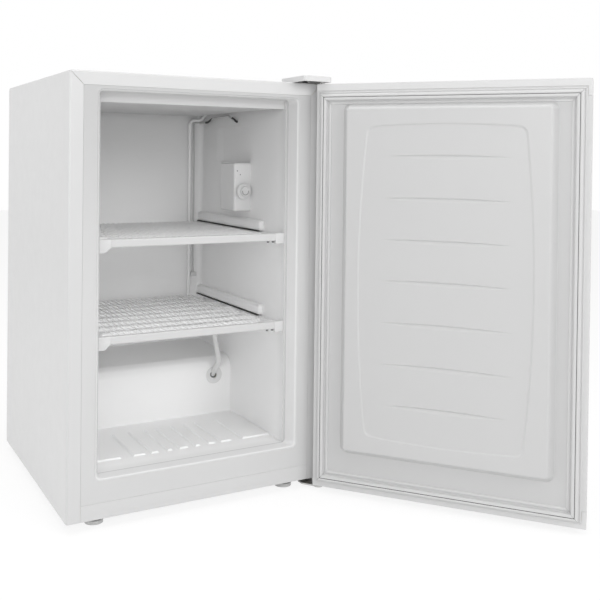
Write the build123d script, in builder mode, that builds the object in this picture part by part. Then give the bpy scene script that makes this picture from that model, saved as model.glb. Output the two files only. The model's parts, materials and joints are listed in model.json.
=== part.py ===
from build123d import *
import math
import os

os.makedirs("parts", exist_ok=True)

# An under-counter upright freezer with its door open. X runs across it, Y from front to back, Z up.
# The origin is on the floor under the middle of the cabinet. Sizes are in millimetres.

# Cabinet shell
width = 536                # across the side panels
depth = 524                # front flange to back panel
box_height = 830           # cabinet without its feet
foot_height = 18           # floor to the cabinet's underside
sheet = 0.8                # painted steel
bend_radius = 4            # outer corners of the folded wrapper
bend_chamfer = 2           # the same corners inside
flange_width = 26          # front flange, seen from the front
mitre_gap = 0.6
lip_depth = 10             # flange edge turned back into the wall
base_fold = 18             # side panels turned in under the cabinet
bead_width, bead_length, bead_depth, bead_slope = 12, 500, 1.2, 45   # stiffening beads of the back
back_fold = 14             # wrapper turned in behind the back panel
rail_height = 30           # bottom front rail
rail_fold = 12
seam = 0.3                 # gap left between pieces that are fitted together

# Machine compartment's room behind and below the food
machine_depth = 195
deck_front = depth - machine_depth
deck_roof = 165
deck_radius = 28

# Food compartment, heights from the cabinet's underside, depths from its front
liner_flange = 30          # between the steel flange and the opening
head_wall = 35
back_wall = 60
opening_width = width - 2 * (flange_width + liner_flange)
opening_low = 74
opening_high = box_height - head_wall
opening_radius = 8
rim_chamfer = 3.5
throat_depth = 33
throat_draft, throat_step, ceiling_step = 7, 5, 2
throat_width = opening_width - 2 * throat_draft
chamber_width = throat_width - 2 * throat_step
chamber_half = chamber_width / 2
chamber_high = opening_high - ceiling_step
chamber_back = depth - back_wall
back_radius = 14
liner_wall = 2
hump_wall, hump_roof, hump_rise, hump_flat = 45, 38, 8, 48
hump_front = deck_front - hump_wall        # step over the compressor
hump_low = deck_roof + hump_roof
hump_high = hump_low + hump_rise
hump_slope_start = hump_front + hump_flat
hump_radius = 30

# Moulded forms of the liner
ledge_reach = 10
ledge_height = 19
ledge_front = 126
ledge_radius = 8
ledge_above_shelf = 7      # from the middle of the shelf's tube
pad_height = 3
pad_front = 87
pad_clear = 54
pad_back = hump_front - pad_clear
pad_reach = 66
pad_edge = chamber_half - pad_reach        # the side pads start here and end at the walls
ribs = ((0, 20), (31, 12), (63, 17), (96, 26))   # middle and width of each floor rib
recess_depth = 4           # shallow hollow of the right wall, over the thermostat
recess_radius = 14
recess_above_box, recess_height = 2, 82
recess_front, recess_length = 185, 190
recess_back = recess_front + recess_length
pad_slope = 35             # degrees, sides of the pads and ribs
mark_length, mark_height, mark_drop, mark_offset = 69, 3, 105, 87
mark_level = chamber_high - mark_drop

# Thermostat's place
box_drop, box_length, knob_rise = 132, 109, 45
box_high = chamber_high - box_drop
box_low = box_high - box_length
knob_level = box_low + knob_rise
recess_low = box_high + recess_above_box
recess_high = recess_low + recess_height

# Evaporator shelves
shelf_below_box, shelf_pitch = 45, 185
upper_level = box_low - shelf_below_box
shelf_levels = {"lower": upper_level - shelf_pitch, "upper": upper_level}      # middle of the tube
tube_radius = 4            # to the flats
tube_sides = 6
tube_corner = 1.18         # a hole that clears the corners of a tube's flats
bend_step = 45             # degrees turned at each short chord of a bend
wall_clear = 7             # middle of the tube along the right wall
back_clear = 9
side_run = chamber_half - wall_clear
back_run = chamber_back - back_clear
pass_pitch = 48.5
front_room = 45            # at least this far from the opening to the first pass
turn_room = 20             # and from the last pass to the tube along the back wall
tail_room, tail_shift = 20, 0.25           # the tail runs between two passes, in front of the step
suction_y = hump_front - tail_room
passes_before = 2 * int(((suction_y - front_room) / pass_pitch - 0.5) / 2) + 1
passes_behind = 2 * int(((back_run - turn_room - suction_y) / pass_pitch + 0.5) / 2)
pass_count = passes_before + passes_behind
first_pass = suction_y - tail_shift - (passes_before - 0.5) * pass_pitch
end_clear = 41.5
pass_end = chamber_half - end_clear        # where the end bends start
elbow_radius = 10
wire_pitch = 12
wire_margin = 30
wire_count = int((chamber_width - 2 * wire_margin) / wire_pitch)
wire_radius = 1
trim_front = 34
trim_depth = 9
trim_height = 16
trim_wall = 2
trim_radius = 3
cap_width = 16
cap_chamfer = 2
cap_height = 22
left_cap_width = 24
left_cap_height = 34

# Tubes in the compartment
riser_x = chamber_half - 37
left_riser_x = 14.5 - chamber_half
ceiling_pitch = 80
ceiling_front = 95
ceiling_pass_end = chamber_half - 70
joint_level = chamber_high - 35            # brazed joint under the top bend
cover_level = chamber_high - 17
cover_sheet = 1.5
cover_band = 13.5
cover_right = chamber_half - 19
cover_front = 40
suction_x = chamber_half - 56
sleeve_radius = 6.5
sleeve_bend = 14
sleeve_top = shelf_levels["lower"] - 22
port_x, port_level = chamber_half - 43, 163
grommet_radius, grommet_height, grommet_sides = 20, 3, 24
sensor_radius = 2
sensor_x = chamber_half - 24
sensor_run_x = chamber_half - 8
sensor_wall_x = chamber_half + 14          # inside the wall
sensor_bend = 8
sensor_end = shelf_levels["lower"] + 50
sensor_level = chamber_high - 23
sensor_port_y, sensor_port_level = 262, chamber_high - 35
sensor_climb, sensor_slope = 40, 40        # short runs that ease its line round the corners
clip_width, clip_height = 16, 10

# Thermostat
box_width = 41             # from the right wall
box_front, box_back = 190, 264
box_wall, box_chamfer = 2, 3
knob_x = chamber_half - 21
knob_radius = 18
knob_height = 16
knob_gap = 1.5
knob_sides, knob_chamfer = 18, 1.5
knob_rim, knob_boss = 0.6, 0.62   # parts of the knob's height and radius
pointer_width, pointer_height = 2.5, 0.8
shaft_radius = 3
shaft_clear = 0.1
body_depth, body_height, body_width = 30, 34, 34
sensor_start_y = 240

# Machine compartment
base_sheet = 1.5
shell_clear = 92           # middle of the compressor, from the back
shell_x, shell_y = -50, depth - shell_clear
shell_radius = 62
shell_low, shell_high = 14, 156
shell_sides = 20
shell_rim = 4              # welded rim round the middle
bowl_chamfer, dome_chamfers = 12, (22, 9)
stub_radius, stub_length, stub_drop = 4, 20, 8
bracket_x, bracket_y, bracket_margin, bracket_sheet = 150, 90, 15, 2
grommet_outer, grommet_neck, grommet_bore = 11, 7.7, 3.2
bolt_radius, bolt_head, bolt_head_height = 3, 6.5, 4
terminal_depth, terminal_half = 34, 30
gland_flange, gland_radius, gland_bore, gland_length = 8, 6.5, 3.6, 12
coil_radius = 2.5
coil_bend = 20
coil_low, coil_head = 250, 70
coil_pitch = (box_height - coil_head - coil_low) / 3
coil_levels = [coil_low + i * coil_pitch for i in range(4)]
coil_front = 165           # middle of the front bends
coil_back = depth - 129    # middle of the back bend
coil_start = depth - 44
coil_drop = depth - 21     # where the coils come down into the machine compartment
coil_end = deck_roof - 25
crossover_level = deck_roof - 37
drier_level = crossover_level - 28
drier_clear, drier_length = 53, 85
drier_to = width / 2 - drier_clear
drier_from = drier_to - drier_length
small_bend = 8
side_run_up, side_step = 50, 18            # discharge and crossover tubes turn here
drier_radius = 9
drier_neck = 6
small_sides = 8            # screws, studs, bores and other small round things
capillary_radius = 1.2
capillary_clear, capillary_step = 39, 18
capillary_x, capillary_y = drier_from - capillary_step, depth - capillary_clear

# Feet
foot_x = width / 2 - 63
foot_inset = 37            # from the cabinet's front and back
foot_radius = 17.5
pad_thickness = 7
stud_radius = 4
collar_radius = 12
nut_height = 22
nut_radius = 7
nut_flange_radius = 14
nut_flange = 1.6
stub_height = 6            # rear foot's peg above the sheet it is pressed into

# Door, closed: heights from the cabinet's underside
door_width = width - 2.4
door_low = -6.7
door_high = box_height - 3
door_thickness = 50
door_gap = 11              # door's inner face to the cabinet's flange
door_outer_radius = 8
door_inner_radius = 2
door_return = 10           # outer panel turned onto the inner face
end_cap = 14               # plastic strip along the top and the bottom
cap_wall = 2.5
corner_wrap = 33           # the strips reach round the free edge this far
corner_width = 8
corner_depth = 9
grip_from, grip_to = 40, 190     # finger pocket in the top strip, towards the free edge
grip_front, grip_width, grip_depth = 8, 22, 20
door_open = 129.4          # degrees
hinge_inset = 10.3         # hinge axis from the cabinet's side
hinge_ahead = 20.65        # hinge axis from the cabinet's front
pin_radius = 3.5
bush_radius = 6
bush_height = 11

# Door liner, measured from the hinge axis towards the free edge
plate = 3
bulge_near, bulge_far = 50, door_width - 66.6
bulge_low, bulge_high = 72, door_high - 41
bulge_height = 20
bulge_draft = 10
bulge_radius = 16
bulge_edge = 4
panel_near, panel_far, panel_bow = bulge_near + 54.5, bulge_far - 55, 17
panel_low, panel_high, panel_rise = bulge_low + 45, bulge_high - 47, 6
panel_depth, panel_radius = 1.2, 12
leaf_shares = (0.106109, 0.237138, 0.370740, 0.504823, 0.635048, 0.768489, 0.902894)
leaf_levels = [panel_low + share * (panel_high - panel_low) for share in leaf_shares]
leaf_middle = (panel_near + panel_far) / 2 + 2.75
leaf_margin = 23.75
leaf_length = panel_far - panel_near - 2 * leaf_margin
leaf_end_length = leaf_length - 14         # the first and the last one
leaf_height = 10
leaf_depth = 1.4

# Door gasket
gasket_near, gasket_far = -3, door_width - 18.6
gasket_low, gasket_high = 3, door_high - 17
gasket_width = 22
gasket_height = 10.3
dart_width, dart_depth = 3, 5
groove_clear = 0.4
magnet_width, magnet_height = 9, 2.5

# Hinges
hinge_plate = 2.5
cover_x, cover_width = width / 2 - 34, 66
cover_y, cover_length = 8, 100
hinge_cover_height = 12
hinge_cover_wall = 2
tongue_level = -7.2        # top of the bottom hinge's tongue
tongue_radius = 11
tongue_end = 6.5            # round end of the top hinge's tongue
screw_radius = 2.5
screw_head = 5
screw_head_height = 3
screw_length = 14
screw_clear = 0.3
bracket_sheet_bottom = 3   # bottom hinge

front_y = -depth / 2
back_y = depth / 2
base_z = foot_height
top_z = base_z + box_height
half = width / 2
inside = half - sheet      # inner face of the side panels
door_face = front_y - door_gap
hinge_x = half - hinge_inset
hinge_y = front_y - hinge_ahead
door_half = door_width / 2
hinge_axis = Axis((hinge_x, hinge_y, 0), (0, 0, 1))


def behind(distance):
    """Y of a point that far behind the cabinet's front."""
    return front_y + distance


def above(height):
    """Z of a point that far above the cabinet's underside."""
    return base_z + height


def along(distance):
    """X of a point on the closed door that far from the hinge axis."""
    return hinge_x - distance


def facing_front(y):
    return Plane.XZ.offset(-y)


def span(x0, x1, y0, y1, radius=0, mode=Mode.ADD):
    """A rectangle given by its edges, with round corners if asked for."""
    with Locations(((x0 + x1) / 2, (y0 + y1) / 2)):
        if radius:
            RectangleRounded(x1 - x0, y1 - y0, radius, mode=mode)
        else:
            Rectangle(x1 - x0, y1 - y0, mode=mode)


def block(x0, x1, y0, y1, z0, z1, mode=Mode.ADD):
    """A box given by its faces."""
    with Locations(((x0 + x1) / 2, (y0 + y1) / 2, (z0 + z1) / 2)):
        Box(x1 - x0, y1 - y0, z1 - z0, mode=mode)


def chords(route):
    """The corners of a route whose bends are cut into short straight pieces."""
    points = [route @ 0]
    for edge in route.edges().sort_by(route):
        steps = 1
        if edge.geom_type == GeomType.CIRCLE:
            steps = max(1, round(math.degrees(edge.length / edge.radius) / bend_step))
        stops = [edge @ (i / steps) for i in range(steps + 1)]
        if (stops[0] - points[-1]).length > (stops[-1] - points[-1]).length:
            stops.reverse()
        points += stops[1:]
    return points


def tube(route, radius, rotation=0):
    """A tube with flat sides along a route, its radius measured to the flats."""
    with BuildPart() as pipe:
        with BuildLine() as line:
            Polyline(*chords(route))
        path = line.wire()
        sideways = (path % 0).cross(Vector(0, 0, 1))
        if sideways.length < 0.01:
            sideways = Vector(1, 0, 0)
        with BuildSketch(Plane(origin=path @ 0, x_dir=sideways, z_dir=path % 0)):
            RegularPolygon(radius, tube_sides, major_radius=False, rotation=rotation)
        sweep(path=path, transition=Transition.RIGHT)
    return pipe


def prism(x, y, z0, z1, radius, sides=small_sides, mode=Mode.ADD):
    """An upright prism round (x, y), its radius measured to the flats."""
    with BuildSketch(Plane.XY.offset(z0)) as section:
        with Locations((x, y)):
            RegularPolygon(radius, sides, major_radius=False)
    extrude(section.sketch, amount=z1 - z0, mode=mode)


def bore(axis, x, y, z, radius, length, sides=small_sides):
    """Cut a hole with flat sides through (x, y, z) along an axis."""
    plane = {"x": Plane.YZ, "y": Plane.XZ, "z": Plane.XY}[axis]
    with BuildSketch(Plane(origin=(x, y, z), x_dir=plane.x_dir, z_dir=plane.z_dir)) as section:
        RegularPolygon(radius, sides, major_radius=False)
    extrude(section.sketch, amount=length / 2, both=True, mode=Mode.SUBTRACT)


def round_bore(axis, x, y, z, radius, length):
    """Cut a round hole through (x, y, z) along an axis."""
    turn = {"x": (0, 90, 0), "y": (90, 0, 0), "z": (0, 0, 0)}[axis]
    with Locations(Location((x, y, z), turn)):
        Cylinder(radius, length, mode=Mode.SUBTRACT)


# ---------------------------------------------------------------- cabinet shell

def folded_edges(form):
    """The front's upright edges and the top's edges but the rear one."""
    upright = form.edges().filter_by(Axis.Z).group_by(Axis.Y)[0]
    return upright + form.edges().group_by(Axis.Z)[-1].sort_by(Axis.Y)[:-1]


with BuildPart() as outer_wrapper:
    block(-half, half, front_y, back_y, base_z, top_z)
    fillet(folded_edges(outer_wrapper), bend_radius)
    with BuildPart(mode=Mode.SUBTRACT) as room:
        block(-inside, inside, front_y + sheet, back_y + 1, base_z - 1, top_z - sheet)
        chamfer(folded_edges(room), bend_chamfer)
    window = half - flange_width
    with BuildSketch(facing_front(front_y)):
        span(-window, window, base_z, top_z - flange_width)
    extrude(amount=-2 * sheet, mode=Mode.SUBTRACT)
    with BuildSketch(facing_front(front_y)):
        span(-window - sheet, window + sheet, base_z, top_z - flange_width + sheet)
        span(-window, window, base_z, top_z - flange_width, mode=Mode.SUBTRACT)
    extrude(amount=-lip_depth)
    with BuildSketch(facing_front(front_y)):
        for side in (-1, 1):
            corner = (side * (window + flange_width / 2 - 1), top_z - flange_width / 2 - 1)
            with Locations(Location(corner, 45 * side)):
                Rectangle(flange_width * 1.2, mitre_gap)
    extrude(amount=-lip_depth - sheet, mode=Mode.SUBTRACT)
    for side in (-1, 1):
        edge, fold = side * (inside + sheet / 2), side * (half - base_fold)
        block(min(edge, fold), max(edge, fold), front_y + rail_fold + 1, back_y, base_z, base_z + sheet)
    with BuildSketch(facing_front(back_y - 2 * sheet - seam)):
        span(-inside, inside, base_z + deck_roof + 20, top_z - sheet)
        fold_in = half - back_fold
        span(-fold_in, fold_in, base_z + deck_roof + 20, top_z - back_fold, mode=Mode.SUBTRACT)
    extrude(amount=sheet)

with BuildPart() as front_rail:
    with BuildSketch(Plane.YZ):
        span(front_y, front_y + rail_fold, base_z, base_z + rail_height)
        span(front_y + sheet, front_y + rail_fold, base_z + sheet, base_z + rail_height - sheet,
             mode=Mode.SUBTRACT)
    extrude(amount=window - seam, both=True)

with BuildPart() as base_plate:
    block(-inside + seam, inside - seam, front_y + rail_fold + 1, behind(deck_front) - sheet - seam,
          base_z + sheet, base_z + 2 * sheet)
    for x in (-foot_x, foot_x):
        bore("z", x, behind(foot_inset), base_z, stud_radius + 1, 10)

with BuildPart() as compartment_deck:
    with BuildSketch(Plane.YZ):
        with BuildLine():
            deck_line = FilletPolyline(
                (behind(deck_front), base_z + sheet),
                (behind(deck_front), above(deck_roof)),
                (back_y - sheet - seam, above(deck_roof)),
                radius=deck_radius,
            )
        trace(deck_line, line_width=sheet)
    extrude(amount=inside - seam, both=True)

with BuildPart() as back_panel:
    with BuildSketch(facing_front(back_y)) as outline:
        span(-inside + seam, inside - seam, above(deck_roof) + sheet, top_z - sheet - seam)
        chamfer(outline.vertices().group_by(Axis.Y)[-1], bend_radius)
    extrude(amount=sheet)
    with BuildSketch(facing_front(back_y)):
        with Locations((0, above((deck_roof + box_height) / 2))):
            with GridLocations(half, 1, 2, 1):
                Rectangle(bead_width, bead_length)
    extrude(amount=-bead_depth, taper=bead_slope)


# ---------------------------------------------------------------- food compartment

flange_half = window - seam
flange_low = above(rail_height) + seam
flange_high = top_z - flange_width - seam


def mouth_and_chamber(wall):
    """The air space in front of the cabinet and inside the compartment, grown outward by wall."""
    mouth_y, throat_y = front_y + wall, behind(throat_depth) + wall
    low, top = above(opening_low) - wall, above(chamber_high) + wall
    mouth, throat, side = opening_width / 2 + wall, throat_width / 2 + wall, chamber_half + wall
    with BuildPart() as space:
        with BuildSketch(Plane.XY.offset(low)) as plan:
            with BuildLine():
                Polyline((-mouth, mouth_y), (mouth, mouth_y), (throat, throat_y), (-throat, throat_y),
                         close=True)
            make_face()
        extrude(amount=above(opening_high) + wall - low)
        if not wall:
            fillet(space.edges().filter_by(lambda edge: abs((edge % 0).Y) > 0.9), opening_radius)
        with BuildSketch(Plane.XY.offset(low)) as plan:
            span(-side, side, throat_y - seam, behind(chamber_back) + wall)
            if wall:
                chamfer(plan.vertices().group_by(Axis.Y)[-1], back_radius / 2)
            else:
                fillet(plan.vertices().group_by(Axis.Y)[-1], back_radius)
        extrude(amount=top - low)
        with BuildSketch(facing_front(mouth_y)):
            span(-flange_half, flange_half, flange_low, flange_high)
        extrude(amount=10)
        if not wall:
            rim = space.edges().filter_by_position(Axis.Y, mouth_y - 0.01, mouth_y + 0.01)
            rim = rim.filter_by(lambda edge: abs(edge.center().X) < flange_half - 5
                                and flange_low + 5 < edge.center().Z < flange_high - 5)
            chamfer(rim, rim_chamfer)

        # step over the compressor
        with BuildSketch(Plane.YZ):
            with BuildLine():
                Polyline(
                    (behind(chamber_back) + 2 * wall, low - 5),
                    (behind(hump_front) + wall, low - 5),
                    (behind(hump_front) + wall, above(hump_low) - wall),
                    (behind(hump_slope_start), above(hump_low) - wall),
                    (behind(chamber_back) + 2 * wall, above(hump_high) - wall),
                    close=True,
                )
            hump = make_face()
            fillet(hump.vertices().group_by(Axis.X)[0].sort_by(Axis.Y)[-1], hump_radius - wall)
        extrude(amount=side + 5, both=True, mode=Mode.SUBTRACT)

        # ledges over the shelves, on both side walls
        for level in shelf_levels.values():
            bottom = above(level + ledge_above_shelf)
            with BuildSketch(Plane.XY.offset(bottom + wall)) as ledges:
                for direction in (-1, 1):
                    near = direction * (side + 1)
                    far = direction * (chamber_half - ledge_reach + wall)
                    span(min(near, far), max(near, far), behind(ledge_front) + wall,
                         behind(chamber_back) + wall + 1)
                ends = ledges.vertices().group_by(Axis.Y)[0].sort_by(Axis.X)[1:-1]
                chamfer(ends, ledge_radius / 2)
            extrude(amount=ledge_height - 2 * wall, mode=Mode.SUBTRACT)
    return space.part


with BuildPart() as inner_liner:
    add(mouth_and_chamber(liner_wall))
    # the room behind the hollow over the thermostat
    recess = (behind(recess_front), behind(recess_back), above(recess_low), above(recess_high))
    block(chamber_half, chamber_half + recess_depth + liner_wall, recess[0] - liner_wall,
          recess[1] + liner_wall, recess[2] - liner_wall, recess[3] + liner_wall)
    add(mouth_and_chamber(0), mode=Mode.SUBTRACT)
    with BuildSketch(Plane.YZ.offset(chamber_half - 1)):
        span(*recess, recess_radius)
    extrude(amount=1 + recess_depth, mode=Mode.SUBTRACT)

    # raised pads and ribs of the floor
    with BuildSketch(Plane.XY.offset(above(opening_low) - seam)):
        front, back = behind(pad_front), behind(pad_back)
        span(-chamber_half - seam, -pad_edge, front, back)
        span(pad_edge, chamber_half + seam, front, back)
        for middle, rib_width in ribs:
            for x in {middle, -middle}:
                span(x - rib_width / 2, x + rib_width / 2, front, back)
    extrude(amount=pad_height + seam, taper=pad_slope)

    # two short marks on the back wall
    with BuildSketch(facing_front(behind(chamber_back))):
        for x in (-mark_offset, mark_offset):
            with Locations((x, above(mark_level))):
                Rectangle(mark_length, mark_height)
    extrude(amount=1)
    bore("y", port_x, behind(hump_front), above(port_level), sleeve_radius * tube_corner, 12)
    bore("y", side_run, behind(chamber_back), above(shelf_levels["upper"]), tube_radius * tube_corner, 40)
    bore("x", chamber_half, behind(sensor_port_y), above(sensor_port_level), sensor_radius + 0.5, 12)
    bore("x", chamber_half, behind(sensor_start_y), above(knob_level), sensor_radius + 0.5, 12)

# ---------------------------------------------------------------- evaporator

ceiling_tube_level = cover_level + cover_sheet + seam + tube_radius
last_pass = first_pass + (pass_count - 1) * pass_pitch


def end_bend(x, front, pitch, z, side):
    """A half-round bend from the pass at front to the next one."""
    radius = pitch / 2
    ThreePointArc(
        (x, behind(front), z), (x + side * radius, behind(front) + radius, z), (x, behind(front) + pitch, z)
    )


def shelf_passes(z):
    """The straight passes of a shelf's tube and the bends at their ends."""
    for i in range(pass_count):
        y = behind(first_pass + i * pass_pitch)
        Line((-pass_end, y, z), (pass_end, y, z))
        if i < pass_count - 1:
            side = -1 if i % 2 == 0 else 1
            end_bend(side * pass_end, first_pass + i * pass_pitch, pass_pitch, z, side)


def shelf_wires(z):
    """Wires welded across the tube from front to back, every third one under it too."""
    with BuildPart() as wires:
        with BuildSketch(facing_front(behind(trim_front + trim_depth) + seam)):
            for side, every in ((1, 1), (-1, 3)):
                with Locations((0, z + side * (tube_radius + wire_radius))):
                    with GridLocations(every * wire_pitch, 1, wire_count // every, 1):
                        Rectangle(2 * wire_radius, 2 * wire_radius)
        extrude(amount=-(last_pass + 2 * tube_radius - trim_front - trim_depth))
    return wires


def shelf_trim(z):
    """The channel that covers the front of a shelf."""
    rise = trim_height / 2
    with BuildPart() as trim:
        with BuildSketch(Plane.YZ.offset(-chamber_half + left_cap_width)) as channel:
            span(behind(trim_front), behind(trim_front + trim_depth), z - rise, z + rise)
            fillet(channel.vertices().group_by(Axis.X)[0], trim_radius)
            span(behind(trim_front + trim_wall), behind(trim_front + trim_depth) + 1,
                 z - rise + trim_wall, z + rise - trim_wall, mode=Mode.SUBTRACT)
        extrude(amount=chamber_width - left_cap_width - cap_width)
    return trim


def shelf_end_caps(z):
    """The blocks that carry the trim on the side walls."""
    wall_face = chamber_half - seam
    with BuildPart() as caps:
        with BuildSketch(facing_front(behind(trim_front))) as right:
            span(chamber_half - cap_width, wall_face, z + trim_height / 2 - cap_height, z + trim_height / 2)
            chamfer(right.vertices(), cap_chamfer)
        extrude(amount=-(trim_depth - trim_wall))
        with BuildSketch(facing_front(behind(trim_front))) as left:
            span(-wall_face, -chamber_half + left_cap_width, z - trim_height / 2, z + trim_height / 2)
            span(-wall_face, -chamber_half + left_cap_width / 2,
                 z + trim_height / 2 - left_cap_height, z + trim_height / 2)
            corners = left.vertices().sort_by(Axis.Y)
            chamfer(corners[:2], cap_chamfer + 0.5)
        extrude(amount=-(trim_depth - trim_wall))
    return caps


lower_z, upper_z = (above(level) for level in shelf_levels.values())
elbow_run = elbow_radius + 1
first_y, last_y, back_run_y = behind(first_pass), behind(last_pass), behind(back_run)

with BuildLine() as lower_route:
    shelf_passes(lower_z)
    FilletPolyline(
        (pass_end, first_y, lower_z), (side_run, first_y, lower_z),
        (side_run, behind(suction_y), lower_z), (suction_x, behind(suction_y), lower_z),
        (suction_x, behind(suction_y), above(sleeve_top)),
        radius=elbow_radius,
    )
    end_bend(-pass_end, last_pass, back_run - last_pass, lower_z, -1)
    Line((-pass_end, back_run_y, lower_z), (riser_x - elbow_run, back_run_y, lower_z))
lower_shelf_coil = tube(lower_route.wire(), tube_radius)

with BuildLine() as upper_route:
    shelf_passes(upper_z)
    FilletPolyline(
        (pass_end, first_y, upper_z), (side_run, first_y, upper_z),
        (side_run, behind(chamber_back) + 3 * liner_wall, upper_z),
        radius=elbow_radius,
    )
    Line((-pass_end, last_y, upper_z), (left_riser_x + elbow_run, last_y, upper_z))
upper_shelf_coil = tube(upper_route.wire(), tube_radius)

ceiling_z, joint_z = above(ceiling_tube_level), above(joint_level)
with BuildLine() as ceiling_route:
    FilletPolyline(
        (left_riser_x, last_y, joint_z), (left_riser_x, last_y, ceiling_z),
        (left_riser_x, behind(ceiling_front), ceiling_z),
        (ceiling_pass_end, behind(ceiling_front), ceiling_z),
        radius=elbow_radius,
    )
    end_bend(ceiling_pass_end, ceiling_front, ceiling_pitch, ceiling_z, 1)
    Line((ceiling_pass_end, behind(ceiling_front + ceiling_pitch), ceiling_z),
         (-ceiling_pass_end, behind(ceiling_front + ceiling_pitch), ceiling_z))
    end_bend(-ceiling_pass_end, ceiling_front + ceiling_pitch, ceiling_pitch, ceiling_z, -1)
    ceiling_last_y = behind(ceiling_front + 2 * ceiling_pitch)
    FilletPolyline(
        (-ceiling_pass_end, ceiling_last_y, ceiling_z), (side_run, ceiling_last_y, ceiling_z),
        (side_run, back_run_y, ceiling_z), (riser_x, back_run_y, ceiling_z),
        (riser_x, back_run_y, joint_z),
        radius=elbow_radius,
    )
ceiling_coil = tube(ceiling_route.wire(), tube_radius)

with BuildLine() as corner_route:
    FilletPolyline(
        (riser_x - elbow_run, back_run_y, lower_z), (riser_x, back_run_y, lower_z),
        (riser_x, back_run_y, joint_z),
        radius=elbow_radius,
    )
corner_riser = tube(corner_route.wire(), tube_radius)

with BuildLine() as left_route:
    FilletPolyline(
        (left_riser_x + elbow_run, last_y, upper_z), (left_riser_x, last_y, upper_z),
        (left_riser_x, last_y, joint_z),
        radius=elbow_radius,
    )
left_riser = tube(left_route.wire(), tube_radius)

lower_shelf_wires, upper_shelf_wires = shelf_wires(lower_z), shelf_wires(upper_z)
tail_gap = pass_pitch / 2 - tube_radius
with lower_shelf_wires:
    # the wire under the tail's bend stops at the passes beside it
    block(suction_x - wire_pitch, suction_x + wire_pitch,
          behind(suction_y) - tail_gap, behind(suction_y) + tail_gap,
          lower_z - 2 * tube_radius, lower_z, mode=Mode.SUBTRACT)
lower_shelf_trim, upper_shelf_trim = shelf_trim(lower_z), shelf_trim(upper_z)
lower_shelf_end_caps, upper_shelf_end_caps = shelf_end_caps(lower_z), shelf_end_caps(upper_z)

with BuildPart() as ceiling_cover:
    plate_z = above(cover_level)
    block(-chamber_half + seam, cover_right, behind(cover_front) + 1, back_run_y - 2 * tube_radius,
          plate_z, plate_z + cover_sheet)
    with BuildSketch(facing_front(behind(cover_front))) as band:
        span(-chamber_half + seam, chamber_half - seam, plate_z, plate_z + cover_band)
        chamfer(band.vertices().group_by(Axis.Y)[-1], cover_band / 2)
        chamfer(band.vertices().group_by(Axis.Y)[0].sort_by(Axis.X)[-1], cover_band / 2 - seam)
    extrude(amount=-3)
    with Locations((0, behind((cover_front + back_run) / 2), plate_z + cover_sheet)):
        with GridLocations(1.5 * chamber_half, 0.8 * (back_run - cover_front), 2, 2):
            Box(8, 8, chamber_high - cover_level - cover_sheet - seam,
                align=(Align.CENTER, Align.CENTER, Align.MIN))
    block(-chamber_half, left_riser_x + 2 * tube_radius, last_y - 2 * elbow_radius, back_run_y,
          plate_z - 1, plate_z + cover_band, mode=Mode.SUBTRACT)

sleeve_start = (suction_x, behind(suction_y), above(sleeve_top))
with BuildLine() as sleeve_route:
    FilletPolyline(
        sleeve_start, (suction_x, behind(suction_y), above(sleeve_top) - 3 * sleeve_radius),
        (port_x, behind(suction_y), above(port_level)),
        (port_x, behind(hump_front) + 3 * liner_wall, above(port_level)),
        radius=sleeve_bend,
    )
suction_sleeve = tube(sleeve_route.wire(), sleeve_radius)

with BuildPart() as suction_grommet:
    with BuildSketch(facing_front(behind(hump_front))):
        with Locations((port_x, above(port_level))):
            RegularPolygon(grommet_radius, grommet_sides)
            RegularPolygon(sleeve_radius * tube_corner, small_sides, major_radius=False, mode=Mode.SUBTRACT)
    extrude(amount=grommet_height)
    outline = suction_grommet.faces().sort_by(Axis.Y)[0].outer_wire()
    chamfer(outline.edges(), grommet_height / 2)

# ---------------------------------------------------------------- thermostat

box_x = chamber_half - box_width
with BuildPart() as thermostat_housing:
    block(box_x, chamber_half, behind(box_front), behind(box_back), above(box_low), above(box_high))
    left_edges = thermostat_housing.faces().sort_by(Axis.X)[0].edges()
    front_edges = thermostat_housing.faces().sort_by(Axis.Y)[0].edges().filter_by(Axis.X)
    chamfer(left_edges + front_edges, box_chamfer)
    block(box_x + box_wall, chamber_half + 1, behind(box_front) + box_wall, behind(box_back) - box_wall,
          above(box_low) + box_wall, above(box_high) - box_wall, mode=Mode.SUBTRACT)
    bore("y", knob_x, behind(box_front), above(knob_level), shaft_radius + 0.5, 10)

body_front = behind(box_front) + box_wall
shaft_reach = body_depth * 0.6
with BuildPart() as thermostat_body:
    block(knob_x - body_width / 2, knob_x + body_width / 2, body_front, body_front + body_depth,
          above(knob_level) - body_height / 2, above(knob_level) + body_height / 2)
    round_bore("y", knob_x, body_front, above(knob_level), shaft_radius + shaft_clear, shaft_reach * 2 + 2)

with BuildPart() as thermostat_knob:
    knob_back, knob_z = behind(box_front) - knob_gap, above(knob_level)
    rim_height = knob_height * knob_rim
    for radius, height in ((knob_radius, rim_height), (knob_radius * knob_boss, knob_height)):
        with BuildSketch(facing_front(knob_back)):
            with Locations((knob_x, knob_z)):
                RegularPolygon(radius, knob_sides)
        extrude(amount=height)
        chamfer(thermostat_knob.edges().group_by(Axis.Y)[0], knob_chamfer)
    with BuildSketch(facing_front(knob_back - knob_height)):
        with Locations((knob_x, knob_z + knob_radius * 0.3)):
            Rectangle(pointer_width, knob_radius * 0.5)
    extrude(amount=pointer_height)
    with BuildSketch(facing_front(knob_back)):
        with Locations((knob_x, knob_z)):
            Circle(shaft_radius)
    extrude(amount=-(knob_gap + box_wall + shaft_reach))

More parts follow.
